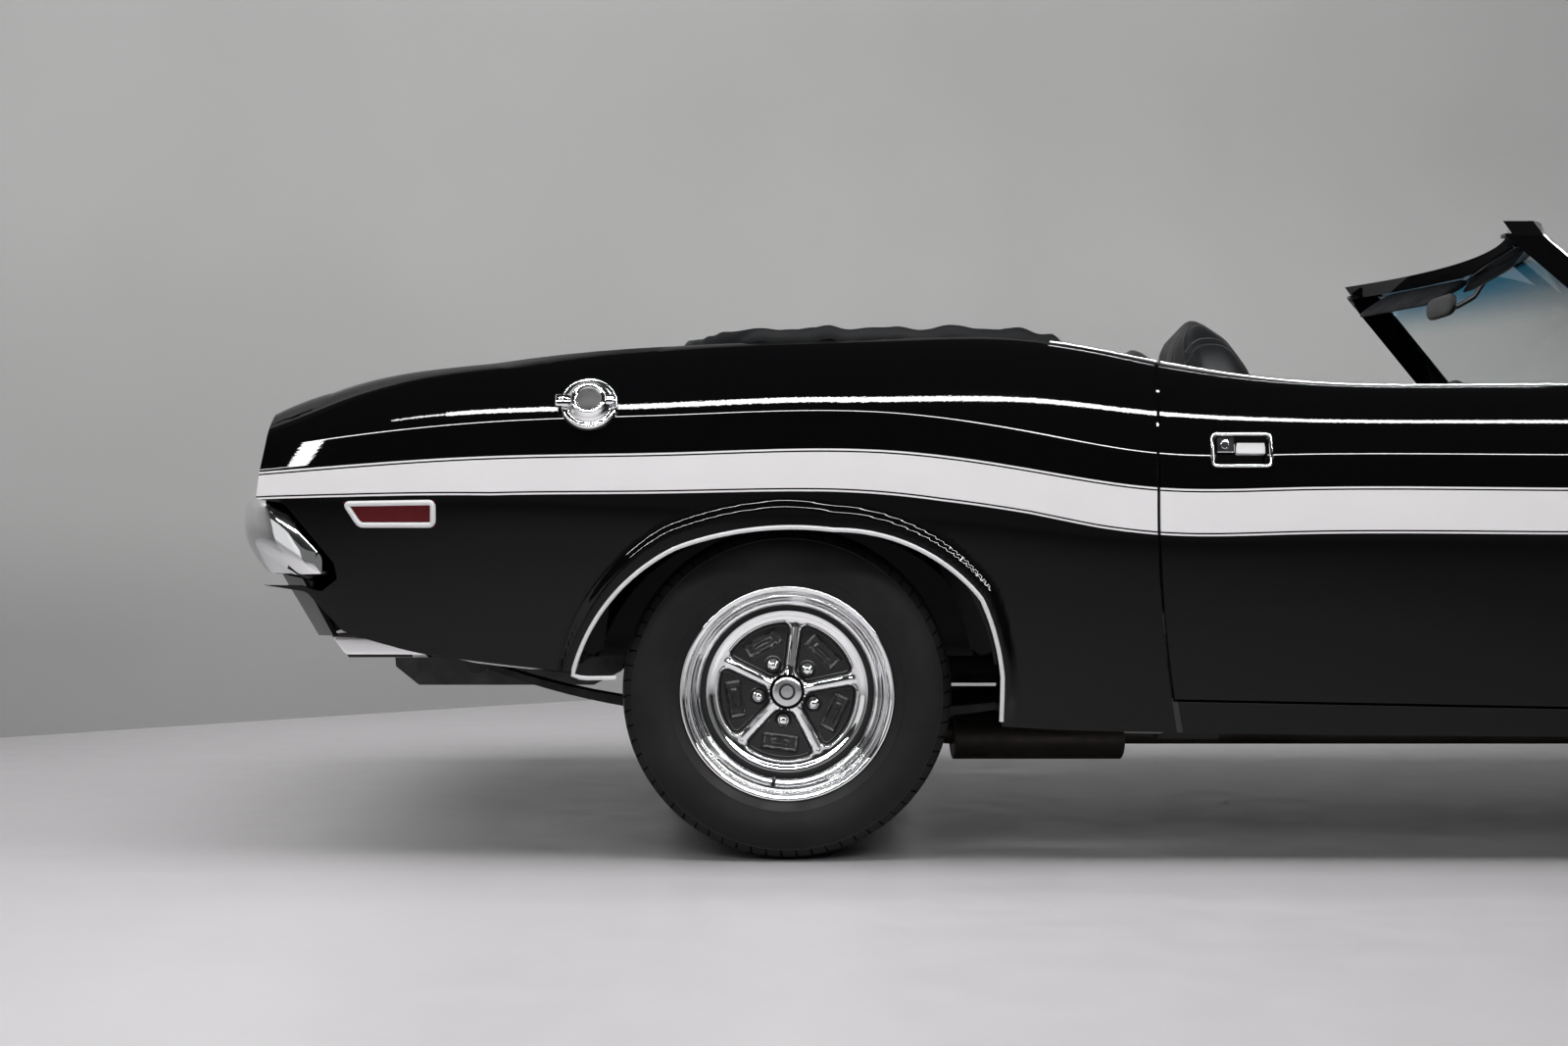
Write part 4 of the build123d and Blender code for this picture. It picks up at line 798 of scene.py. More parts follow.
def sideSkin(name, side, body, node, xA, xB, zBottom, zTop, rows, holes=(), arch=None):
    # A fine grid over (x, z), laid just outside the solid's face and cut to the holes.
    gx, gz, quads = cutHoles(*skinGrid(xA, xB, zBottom, zTop, rows), holes)

    def surface(px, pz, gain=1.0):
        o = plainOut(px, pz)
        return o + gain * flareOut(px, pz, arch, sideInfo["band"]) if arch is not None else o

    # Held a little further out where the waist is hollow and the solid's facets bridge it.
    hollow = share((gx - 0.50) / 0.08) * share((1.00 - gx) / 0.10)
    hollow *= share((gz - 0.60) / 0.05) * share((0.80 - gz) / 0.05)
    out = surface(gx, gz) + cadShift(node, side, gx, gz) + sideInfo["proud"] + sideInfo["bridge"] * hollow
    # The band's step is shaded steeper than it is, so that its edge mirrors the lamps as two thin lines.
    h, steep = 0.005, sideInfo["steeper"]
    dx = (surface(gx + h, gz, steep) - surface(gx - h, gz, steep)) / (2 * h)
    dz = (surface(gx, gz + h, steep) - surface(gx, gz - h, steep)) / (2 * h)
    # Above the fold the tilt is set, from browTilt at the fold to 47 and then 69 degrees at the ridge.
    low, crease, shoulder, ridge, top = sideLines(gx)
    up = share((gz - shoulder[1]) / (ridge[1] - shoulder[1]))
    start = np.mean([np.interp(gx + d, *browTilt.T) for d in np.linspace(-0.15, 0.15, 7)], 0)
    fold = share((gz - shoulder[1]) / 0.003 + 0.5)
    bowed = np.radians(start + (47 - start) * up + 22 * up ** 7)
    tilt = np.arctan2(-dz, 1.0) * (1 - fold) + bowed * fold
    normals = unit(np.stack([-dx, side * np.cos(tilt), np.sin(tilt)], -1))
    verts, quads, normals = addHem(np.stack([gx, side * out, gz], -1), quads, normals, side)
    obj = makeMesh(name, verts, quads[:, ::-1] if side > 0 else quads, "stripe", body, normals)
    pointLayer(obj, "stripeDrop", sideLines(verts[:, 0])[1][1] - verts[:, 2])
    pointLayer(obj, "stripeWidth", np.interp(verts[:, 0], *stripeWidths.T))


# x and z of the hole's middle, the plate's half length and half height, the cup's depth.
handle = dict(x=-0.438, z=0.790, halfLong=0.0585, halfHigh=0.0345, deep=0.040, bezelWidth=0.0072,
              bezelRise=0.0048, lockBox=((-0.047, -0.004, -0.016), (-0.012, 0.0265, -0.001)),
              paddleBox=((-0.009, -0.006, -0.018), (0.047, 0.0265, -0.004)), lockAt=(-0.030, 0.0115, -0.001),
              lock=[(0.0, 0.0085), (0.0022, 0.0080), (0.0024, 0.0062), (0.0012, 0.0058), (0.0012, 0.0)])
handleHole = np.array([(handle["x"] + a * 0.0495, handle["z"] + b * 0.0265)
                       for a, b in ((-1, -1), (1, -1), (1, 1), (-1, 1))])
stripeWidths = np.array([(-2400, 50), (-2294, 53), (-1864, 74), (-1492, 77), (-1213, 81), (-1009, 86),
                         (-842, 85), (-712, 89), (-601, 89), (1500, 86), (2330, 60)], float) / 1000


def shutLine(shift):
    # The curved rear edge of the door, as x for a height.
    def line(z):
        p, q, r = (0.318, -0.570 + shift), (0.640, -0.601 + shift), (1.060, -0.574 + shift)
        return (p[1] * (z - q[0]) * (z - r[0]) / ((p[0] - q[0]) * (p[0] - r[0]))
                + q[1] * (z - p[0]) * (z - r[0]) / ((q[0] - p[0]) * (q[0] - r[0]))
                + r[1] * (z - p[0]) * (z - q[0]) / ((r[0] - p[0]) * (r[0] - q[0])))
    return line


def level(value):
    # The same value at every height.
    return lambda z: np.full(np.shape(z), value)


def tailEdge(z):
    # x of the side's rear edge, leaning forward above the bumper.
    return np.interp(z, [0.0, 0.699, 0.854, 1.2], [-2.322, -2.322, -2.300, -2.300]) - 0.0004


def doorFoot(x):
    # z of the door's lower edge, falling forward.
    return np.interp(x, [-0.60, 0.75], [0.318, 0.292])


def buildSkins():
    for side, word in sides:
        sideSkin(f"quarterSkin_{word}", side, "body", f"quarter_panel_{word}", tailEdge, shutLine(0.0005),
                 None, None, (62, 10, 23), (bumperNotch, tailCut, rearArch), rearArch)
        sideSkin(f"doorSkin_{word}", side, f"door_{word}", f"door_{word}", shutLine(0.0065), level(0.7504),
                 doorFoot, None, (50, 9, 21), (handleHole,))
        sideSkin(f"fenderSkin_{word}", side, "body", f"front_fender_{word}", level(0.7560), level(2.3404),
                 None, None, (56, 9, 20), (frontArch, noseCut, noseTop), frontArch)
        sideSkin(f"sillSkin_{word}", side, "body", "floor_pan", shutLine(0.012), level(0.7550),
                 None, lambda x: doorFoot(x) - 0.006, (8,))


buildSkins()
print("stage: body skins")


def bevelBox(low, high, bevel):
    # Box with its edges cut off at 45 degrees.
    low, high = np.asarray(low, float), np.asarray(high, float)
    verts, index = [], {}
    for i in range(8):
        sign = np.array([1 if i >> k & 1 else -1 for k in range(3)])
        corner = np.where(sign > 0, high, low)
        for axis in range(3):
            p = corner - sign * bevel
            p[axis] = corner[axis]
            index[i, axis] = len(verts)
            verts.append(p)
    quads = []
    for axis in range(3):
        a, b = [k for k in range(3) if k != axis]
        for s in (0, 1):
            ring = [s << axis, s << axis | 1 << a, s << axis | 1 << a | 1 << b, s << axis | 1 << b]
            quads.append([index[i, axis] for i in ring])
        for i in range(8):
            if not i >> axis & 1:
                j = i | 1 << axis
                quads.append([index[i, a], index[j, a], index[j, b], index[i, b]])
    for i in range(8):
        quads.append([index[i, 0], index[i, 1], index[i, 2], index[i, 2]])
    return np.array(verts), np.array(quads)


def placed(verts, origin, x, y, z):
    # From local axes to the car's.
    verts = np.atleast_2d(verts)
    return np.asarray(origin) + verts @ np.array([x, y, z])


def piece(name, parts, finish, body="body", sharp=50):
    # One object from several (verts, quads) parts, its faces turned outwards.
    verts, quads = join(parts)
    obj = makeMesh(name, verts, dropDoubles(quads), finish, body, None)
    bm = bmesh.new()
    bm.from_mesh(obj.data)
    bmesh.ops.recalc_face_normals(bm, faces=bm.faces)
    bm.to_mesh(obj.data)
    bm.free()
    sharpen(obj, sharp)
    return obj


def disc(profile, segments, origin, axis, across):
    # Turns (height, radius) points about an axis through origin.
    axis, across = unit(np.asarray(axis, float)), unit(np.asarray(across, float))
    third = np.cross(axis, across)
    ang = np.arange(segments) * 2 * math.pi / segments
    prof = np.asarray(profile, float)
    ring = np.cos(ang)[:, None] * across + np.sin(ang)[:, None] * third
    verts = np.asarray(origin) + prof[None, :, :1] * axis + prof[None, :, 1:2] * ring[:, None]
    return verts.reshape(-1, 3), gridQuads(segments, len(prof), closeU=True)


def halfRound(width, height, steps=8):
    # Half an ellipse on a shallow foot.
    ang = np.linspace(0, math.pi, steps + 1)
    arc = np.stack([np.cos(ang) * width / 2, np.sin(ang) * height], -1)
    return np.vstack([arc, [(-width / 2, -height * 0.6), (width / 2, -height * 0.6)]])


def sidePoints(path, side, proud):
    # (x, z) points laid on the body's side and lifted off it.
    x, z = path[:, 0], path[:, 1]
    return np.stack([x, side * (plainOut(x, z) + proud), z], -1)


def ringPath(points, radius, steps=5):
    # Closed polyline with rounded corners.
    p = np.asarray(points, float)
    out = []
    for i in range(len(p)):
        a, b, c = p[i - 1], p[i], p[(i + 1) % len(p)]
        la, lc = np.linalg.norm(a - b), np.linalg.norm(c - b)
        r = min(radius, la * 0.45, lc * 0.45)
        p0, p1 = b + (a - b) / la * r, b + (c - b) / lc * r
        for t in np.linspace(0, 1, steps + 1):
            out.append((1 - t) ** 2 * p0 + 2 * t * (1 - t) * b + t ** 2 * p1)
    return np.array(out)


trim = dict(archWidth=0.0085, archRise=0.0040, beltWidth=0.0065, beltRise=0.0035, proud=0.0075, step=0.014,
            belts=[("quarter", "body", -0.790, -0.5835), ("door", "door_{}", -0.5750, 0.746)])


def buildMouldings():
    for side, word in sides:
        rear = rearArch[rearArch[:, 1] > 0.358]
        rear = np.vstack([[(-1.625, 0.3575), (-1.690, 0.3565)], rear, [(-0.8925, 0.275)]])
        front = frontArch[frontArch[:, 1] > 0.3]
        prof = halfRound(trim["archWidth"], trim["archRise"])
        for label, path in (("rear", rear), ("front", front)):
            fine = resample(path, trim["step"])
            proud = trim["proud"] * share((fine[:, 1] - 0.27) / 0.05)
            line = sweep(sidePoints(fine, side, proud), prof, (0, side, 0))
            piece(f"archTrim_{label}_{word}", [line], "satinTrim", sharp=40)
        prof = halfRound(trim["beltWidth"], trim["beltRise"])
        for label, body, x0, x1 in trim["belts"]:
            x = np.linspace(x0, x1, 70)
            ridge = sideLines(x)[3]
            path = np.stack([x, side * (ridge[0] - 0.001), ridge[1] + 0.0005], -1)
            line = sweep(path, prof, (0, side * 0.6, 1))
            piece(f"beltTrim_{label}_{word}", [line], "brightTrim", body.format(word), sharp=40)


markers = dict(rear=[(-2.143, 0.6885), (-1.973, 0.6910), (-1.973, 0.6480), (-2.116, 0.6480)],
               front=[(2.028, 0.621), (2.172, 0.621), (2.172, 0.589), (2.028, 0.589)])


def buildMarkers():
    for side, word in sides:
        for label, outline in markers.items():
            line = sidePoints(ringPath(outline, 0.009), side, 0.0035)
            ring = sweep(line, halfRound(0.0105, 0.0050), (0, side, 0), closedPath=True)
            piece(f"markerBezel_{label}_{word}", [ring], "satinTrim", sharp=60)


def handleFrame(side):
    # Origin and axes (along, up, out) of the door's outer face at the handle.
    x, z = handle["x"], handle["z"]
    lo, hi = (float(plainOut(np.array(x), np.array(z + d))) for d in (-0.03, 0.03))
    mid = max(float(plainOut(np.array(x), np.array(z))), (lo + hi) / 2)
    tilt = math.atan2(lo - hi, 0.06)
    up = np.array([0, -side * math.sin(tilt), math.cos(tilt)])
    out = np.array([0, side * math.cos(tilt), math.sin(tilt)])
    return np.array([x, side * mid, z]), np.array([1.0, 0, 0]), up, out


def buildHandles():
    a, b = handle["halfLong"] - 0.003, handle["halfHigh"] - 0.003
    u, w = 0.0495, 0.0275
    prof = halfRound(handle["bezelWidth"], handle["bezelRise"])
    for side, word in sides:
        body, axes = f"door_{word}", handleFrame(side)
        ring = ringPath([(-a, -b), (a, -b), (a, b), (-a, b)], 0.010)
        line = placed(np.column_stack([ring, np.full(len(ring), 0.0016)]), *axes)
        piece(f"handleBezel_{word}", [sweep(line, prof, axes[3], closedPath=True)], "chrome", body, sharp=60)
        corners = ((-u, -w), (u, -w), (u, w), (-u, w))
        cup = np.array([(x, y, z) for z in (0.001, -handle["deep"]) for x, y in corners])
        walls = np.array([(0, 1, 5, 4), (1, 2, 6, 5), (2, 3, 7, 6), (3, 0, 4, 7), (4, 5, 6, 7)])
        piece(f"handleCup_{word}", [(placed(cup, *axes), walls)], "handleDark", body, 30)
        block = bevelBox(*handle["lockBox"], 0.0015)
        lock = disc(handle["lock"], 28, placed(handle["lockAt"], *axes)[0], axes[3], axes[1])
        piece(f"handleLock_{word}", [(placed(block[0], *axes), block[1]), lock], "chrome", body, sharp=35)
        paddle = bevelBox(*handle["paddleBox"], 0.002)
        piece(f"handlePaddle_{word}", [(placed(paddle[0], *axes), paddle[1])], "satinTrim", body, sharp=35)


# Fuel cap: tilt in degrees, then profiles of (height, r) and the hinge's blocks as corner pairs.
fuelCap = dict(at=(-1.676, -0.927, 0.877), tilt=27,
               base=[(-0.004, 0.0548), (0.0070, 0.0545), (0.0095, 0.0525), (0.0100, 0.0495), (0.0080, 0.0455),
                     (0.0085, 0.0440)],
               dome=[(0.0080, 0.0438), (0.0130, 0.0430), (0.0165, 0.0405), (0.0190, 0.0365),
                     (0.0215, 0.0345), (0.0255, 0.0335), (0.0270, 0.0315), (0.0273, 0.0285),
                     (0.0258, 0.0245), (0.0238, 0.0225)],
               face=[(0.0236, 0.0228), (0.0244, 0.0215), (0.0246, 0.0)],
               blocks=[((-0.0640, -0.0125, 0.006), (-0.0370, 0.0125, 0.0215)),
                       ((0.0300, -0.0090, 0.010), (0.0505, 0.0110, 0.0235))])


def buildFuelCap():
    c, s = math.cos(math.radians(fuelCap["tilt"])), math.sin(math.radians(fuelCap["tilt"]))
    origin, along, up, out = np.array([fuelCap["at"], (1.0, 0, 0), (0, s, c), (0, -c, s)])
    base, dome, face = (disc(fuelCap[part], steps, origin, out, along)
                        for part, steps in (("base", 72), ("dome", 72), ("face", 60)))
    blocks = [bevelBox(low, high, 0.003) for low, high in fuelCap["blocks"]]
    blocks = [(placed(v, origin, along, up, out), q) for v, q in blocks]
    cap = piece("fuelCapShell", [base, dome] + blocks, "chrome")
    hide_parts("fuel_cap")
    piece("fuelCapFace", [face], "blackPlastic")


buildMouldings()
buildMarkers()
buildHandles()
buildFuelCap()
print("stage: outside trim")

# Wheels: local y is outboard from the rim's middle, r from the hub.
wheelInfo = dict(segments=96, turns=300, pitches=66, spoke=0.0062, windowOuter=0.1365, cornerRound=0.017,
                 boltCircle=0.05715, firstSpoke=math.radians(10.4), step=2 * math.pi / 5, groove=0.0075)
# (y, r) of the rim from its inboard edge out to the lip and down to the disc.
lipProfile = [(-0.0910, 0.178), (-0.0915, 0.2040), (-0.087, 0.2065), (-0.080, 0.2000), (0.080, 0.1915),
              (0.0895, 0.1960), (0.0975, 0.2060), (0.1010, 0.2078), (0.1028, 0.2055), (0.1024, 0.2020),
              (0.0995, 0.1975), (0.0935, 0.1935), (0.0912, 0.1915), (0.0935, 0.1895), (0.0915, 0.1865),
              (0.0860, 0.1835), (0.0790, 0.1815), (0.0700, 0.1795), (0.0655, 0.1765), (0.0640, 0.1725),
              (0.0600, 0.1700), (0.0530, 0.1688), (0.0300, 0.1683)]


def cutCorners(points, times, closed=False):
    # Rounds a profile by cutting every corner at a quarter of its sides.
    p = np.asarray(points, float)
    for _ in range(times):
        n = np.roll(p, -1, 0)
        inner = np.stack([p * 0.75 + n * 0.25, p * 0.25 + n * 0.75], 1).reshape(-1, p.shape[1])
        p = inner if closed else np.vstack([p[:1], inner[1:-3], p[-1:]])
    return p


def wheelFace():
    # A polar grid: y falls off into the windows with the rounded distance inside them.
    w = wheelInfo
    r = np.concatenate([[0.0332, 0.0336], np.linspace(0.0342, 0.128, 35, endpoint=False),
                        np.linspace(0.128, 0.142, 10, endpoint=False), np.linspace(0.142, 0.1570, 7),
                        [0.1578, 0.1582, 0.1685]])
    t = np.arange(w["turns"]) * 2 * math.pi / w["turns"]
    T, R = np.meshgrid(t, r, indexing="ij")
    off = (T - w["firstSpoke"] + w["step"] / 2) % w["step"] - w["step"] / 2
    mid = (T - w["firstSpoke"]) % w["step"] - w["step"] / 2
    across = np.abs(R * np.sin(off))
    k = w["cornerRound"]
    gaps = (across - w["spoke"] - 0.016 * R, w["windowOuter"] - R, 1.6 * (R - 0.0350))
    inset = k - np.sqrt(sum(np.maximum(k - g, 0) ** 2 for g in gaps))
    y = np.interp(R, [0.034, 0.05, 0.10, 0.135, 0.145, 0.152, 0.157],
                  [0.0475, 0.0425, 0.036, 0.034, 0.037, 0.0415, 0.0425])
    s = share(inset / 0.0075)
    y = y - 0.017 * s * s * (3 - 2 * s)
    # A crown along each spoke and a bead round each window.
    y += 0.0035 * share(1 - (across / (w["spoke"] + 0.001)) ** 2) * share((0.138 - R) / 0.01)
    y += 0.0016 * np.exp(-((inset + 0.0005) / 0.0012) ** 2)
    # An embossed loop in each window, and a boss round each nut.
    du, dv = np.abs(R * np.sin(mid)), R * np.cos(mid) - 0.103
    for half, deep, rise in ((0.033, 0.0125, 0.0040), (0.019, 0.0035, 0.0030)):
        loop = np.maximum(du - half, np.abs(dv) - deep)
        y += rise * np.exp(-(loop / 0.0022) ** 2) * (inset > 0.004)
    nut = np.hypot(R * np.sin(mid), R * np.cos(mid) - w["boltCircle"])
    y += 0.0060 * share((0.0165 - nut) / 0.004)
    well = (R < 0.0338) | (R > 0.1580)
    y = np.where(well, 0.028, y)
    inset = np.where(well, 0.01, inset)
    verts = np.stack([R * np.cos(T), y, R * np.sin(T)], -1).reshape(-1, 3)
    return verts, gridQuads(*R.shape, closeU=True), inset.ravel()


def wheelMaterial():
    # Chrome where "inset" is below about 2.5 mm, satin black beyond.
    mat, tree, shader = newMaterial("wheelFace", (0.86, 0.865, 0.875), 0.05, 1.0)
    inset = addNode(tree, "ShaderNodeAttribute", attribute_name="inset").outputs["Fac"]
    black = ramp(tree, inset, 0.0022, 0.0030)
    wire(tree, shader, mixColour(tree, black, (0.86, 0.865, 0.875), (0.010, 0.010, 0.011)),
         ramp(tree, inset, 0.0022, 0.0030, 0.05, 0.36))
    tree.links.new(calc(tree, "SUBTRACT", 1.0, black), shader.inputs["Metallic"])
    return mat


def crown(y):
    # The tread's radius falls with the square of the distance from its middle.
    return car["wheelZ"] - 0.9 * y * y


def treadProfile():
    # Tyre section (y, r) from the inboard bead round to the outboard one.
    half = [(0.0860, 0.1905), (0.0925, 0.1960), (0.0990, 0.2085), (0.1075, 0.2240), (0.1086, 0.2262),
            (0.1100, 0.2268), (0.1140, 0.2420), (0.1172, 0.2560), (0.1176, 0.2690), (0.1152, 0.2830),
            (0.1120, 0.2930), (0.1095, 0.2985), (0.1098, 0.3000), (0.1065, 0.3035), (0.1035, 0.3085),
            (0.0985, 0.3130), (0.0960, 0.3148)]
    groove = wheelInfo["groove"]
    for i, (y0, y1) in enumerate(((0.0940, 0.0700), (0.0630, 0.0330), (0.0260, 0.0035))):
        if i:
            half.append((y0 + 0.0008, crown(y0) - groove))
        half += [(y0, crown(y0)), (y1, crown(y1)), (y1 - 0.0008, crown(y1) - groove)]
    half = np.array(half)
    return np.vstack([half * (-1, 1), half[::-1]])


def tyreSurface():
    # The section turned round the hub, cut in where a cross groove passes.
    w = wheelInfo
    y, r = treadProfile().T
    shares = np.array([0, 0.03, 0.12, 0.15, 0.55])
    turns = (np.arange(w["pitches"])[:, None] + shares).ravel() * 2 * math.pi / w["pitches"]
    cut = np.tile([0, 1, 1, 0, 0], w["pitches"])
    # Cross grooves lean over the tread and fade out down the shoulder.
    shoulder = share((r - 0.3000) / 0.006)
    depth = np.minimum(np.where(np.abs(y) < 0.060, 0.0045, 0.0060) * shoulder,
                       np.where(np.abs(y) < 0.0945, np.maximum(r - crown(y) + w["groove"], 0), 1))
    lean = np.clip(0.110 - np.abs(y), 0, 0.110) * 0.66 * np.sign(y) * shoulder
    T = turns[:, None] + lean
    R = r - depth * cut[:, None]
    verts = np.stack([R * np.cos(T), np.broadcast_to(y, R.shape), R * np.sin(T)], -1).reshape(-1, 3)
    return verts, gridQuads(*R.shape, closeU=True)


# Profiles of (y, r) points, in order from the rim side out.
hub = dict(nut=[(0.024, 0.0105), (0.031, 0.0102), (0.032, 0.0085), (0.0395, 0.0083), (0.0425, 0.0070),
                (0.0440, 0.0042), (0.0445, 0)],
           cap=[(0.020, 0.0300), (0.044, 0.0296), (0.0490, 0.0280), (0.0512, 0.0245), (0.0518, 0.0165),
                (0.0506, 0.0155), (0.0506, 0.0125), (0.0518, 0.0115), (0.0520, 0.0)],
           ring=[(0.0500, 0.0160), (0.0512, 0.0158), (0.0512, 0.0122), (0.0500, 0.0120)],
           valve=[(-0.020, 0.0045), (0.006, 0.0045), (0.0065, 0.0036), (0.018, 0.0036), (0.0185, 0.0030),
                  (0.0185, 0.0)],
           valveAt=(-0.0255, 0.066, -0.170))


def hubPieces():
    # The nuts stand midway between the spokes.
    y, x, origin = (0, 1, 0), (1, 0, 0), np.zeros(3)
    nuts = []
    for k in range(5):
        a = wheelInfo["firstSpoke"] + wheelInfo["step"] * (k + 0.5)
        at = wheelInfo["boltCircle"] * np.array([math.cos(a), 0.0, math.sin(a)])
        nuts.append(disc(hub["nut"], 18, at, y, x))
    return (nuts, disc(hub["cap"], 60, origin, y, x), disc(hub["ring"], 48, origin, y, x),
            disc(hub["valve"], 16, hub["valveAt"], y, x))


mats["wheelFace"] = wheelMaterial()


def buildWheels():
    face, faceQuads, inset = wheelFace()
    nuts, cap, ring, valve = hubPieces()
    barrel = disc(cutCorners(lipProfile, 2), wheelInfo["segments"], np.zeros(3), (0, 1, 0), (1, 0, 0))
    tyre = tyreSurface()
    # name, parts, material, slot, sharp angle, node it stands for
    table = (("rimRing", [barrel], "chrome", "wheel_chrome", 50, "rim"),
             ("wheelFace", [(face, faceQuads)], "wheelFace", "wheel_chrome", 60, None),
             ("wheelNuts", nuts, "chrome", "wheel_chrome", 40, None),
             ("wheelCap", [cap], "capSilver", "wheel_chrome", 40, None),
             ("wheelMark", [ring, valve], "blackPlastic", "wheel_chrome", 40, None),
             ("tread", [tyre], "rubber", "tyre", 34, "tyre"))
    for end in ("front", "rear"):
        for side, word in sides:
            centre = np.array([car[end + "X"], side * car[end + "Out"], car["wheelZ"]])
            for name, parts, material, slot, sharp, node in table:
                verts, quads = join(parts)
                obj = makeMesh(f"{name}_{end}_{word}", verts * (1, side, 1) + centre, quads[:, ::side],
                               material, f"wheel_{end}_{word}", None)
                sharpen(obj, sharp)
                if node:
                    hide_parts(f"{node}_{end}_{word}")
                if name == "wheelFace":
                    pointLayer(obj, "inset", inset)


buildWheels()
print("stage: wheels")


# Bumpers: out, x of the face, depth, low, high, then the profile as shares of depth and height.
bumpers = dict(
    rear=dict(rows=[(0, -2.430, 0.062, 0.553, 0.699), (0.460, -2.416, 0.062, 0.553, 0.699),
                    (0.730, -2.382, 0.062, 0.553, 0.699), (0.835, -2.338, 0.080, 0.553, 0.697),
                    (0.880, -2.280, 0.046, 0.553, 0.655), (0.897, -2.225, 0.034, 0.555, 0.597)],
              profile=[(1, 0), (0.9, 0), (0.45, 0.2), (0.1, 0.42), (0, 0.66), (0.05, 0.92), (0.28, 1),
                       (1, 0.92)]),
    front=dict(rows=[(0, 2.430, -0.058, 0.424, 0.5217), (0.5, 2.412, -0.058, 0.424, 0.5217),
                     (0.76, 2.376, -0.058, 0.424, 0.5217), (0.86, 2.338, -0.050, 0.424, 0.5217),
                     (0.904, 2.302, -0.030, 0.428, 0.5137)],
               profile=[(1, 0), (0.3, 0), (0, 0.3), (0, 0.7), (0.3, 1), (1, 1)]),
)


def buildBumpers():
    # Each profile is stretched to the depth and height of a spline through the rows and its mirror image.
    for end, data in bumpers.items():
        rows = np.array(data["rows"], float)
        rows = np.vstack([rows[:0:-1] * (-1, 1, 1, 1, 1), rows])
        arc = np.concatenate([[0], np.cumsum(np.hypot(*np.diff(rows[:, :2], axis=0).T))])
        c = naturalSpline(np.linspace(0, arc[-1], 170), arc, rows)
        prof = cutCorners(data["profile"], 3, True)
        x = c[:, 1:2] + prof[:, 0] * c[:, 2:3]
        z = c[:, 3:4] + prof[:, 1] * (c[:, 4:5] - c[:, 3:4])
        bar = cappedGrid(x, np.broadcast_to(c[:, :1], x.shape), z)
        bar = piece(f"bumper_{end}", [bar], "chrome", sharp=55)
        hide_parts(f"{end}_bumper")


# Outlet sleeves: the steps give the inset and the distance forward of the mouth, from the outside in.
tips = dict(x=-2.230, out0=0.482, out1=0.592, low=0.376, high=0.424,
            steps=[(-0.0012, 0.165), (-0.0012, 0.004), (0.0, 0.0005), (0.002, 0.0), (0.004, 0.002),
                   (0.0045, 0.060)])


def buildTips():
    # A bright sleeve on each rectangular outlet, its mouth cut on a slant and rolled inwards.
    for side, word in sides:
        a, b, c, d = (tips[key] for key in ("out0", "out1", "low", "high"))
        ring = ringPath([(a, c), (b, c), (b, d), (a, d)], 0.013)
        centre = ring.mean(0)
        half = np.abs(ring - centre).max(0)
        rows = []
        for inset, back in tips["steps"]:
            p = centre + (ring - centre) * (1 - inset / half)
            x = tips["x"] - 0.009 + (tips["high"] - p[:, 1]) * 0.75 + back
            rows.append(np.stack([np.maximum(x, tips["x"] - 0.008), side * p[:, 0], p[:, 1]], -1))
        verts = np.concatenate(rows)
        piece(f"exhaustTip_{word}", [(verts, gridQuads(len(rows), len(ring), closeV=True))], "brightTrim",
              sharp=45)


# Top cover: outlines in plan, then the place and height of each fold and gather.
boot = dict(outer=[(-0.762, -0.800), (-1.400, -0.812), (-1.5195, -0.640), (-1.5195, 0.640), (-1.400, 0.812),
                   (-0.762, 0.800)],
            inner=[(-0.772, -0.700), (-1.080, -0.660), (-1.124, -0.600), (-1.124, 0.600), (-1.080, 0.660),
                   (-0.772, 0.700)],
            folds=[(-1.405, 0.004), (-1.341, 0.007), (-1.218, 0.009), (-1.084, 0.008), (-0.955, 0.010),
                   (-0.835, 0.008)],
            gathers=[(-0.52, 0.009), (-0.31, 0.012), (-0.08, 0.008), (0.13, 0.011), (0.36, 0.010),
                     (0.55, 0.009)],
            edge=0.022, fall=0.026, weltIn=0.0150, weltHigh=0.0026, floor=0.9775, along=420, across=46)


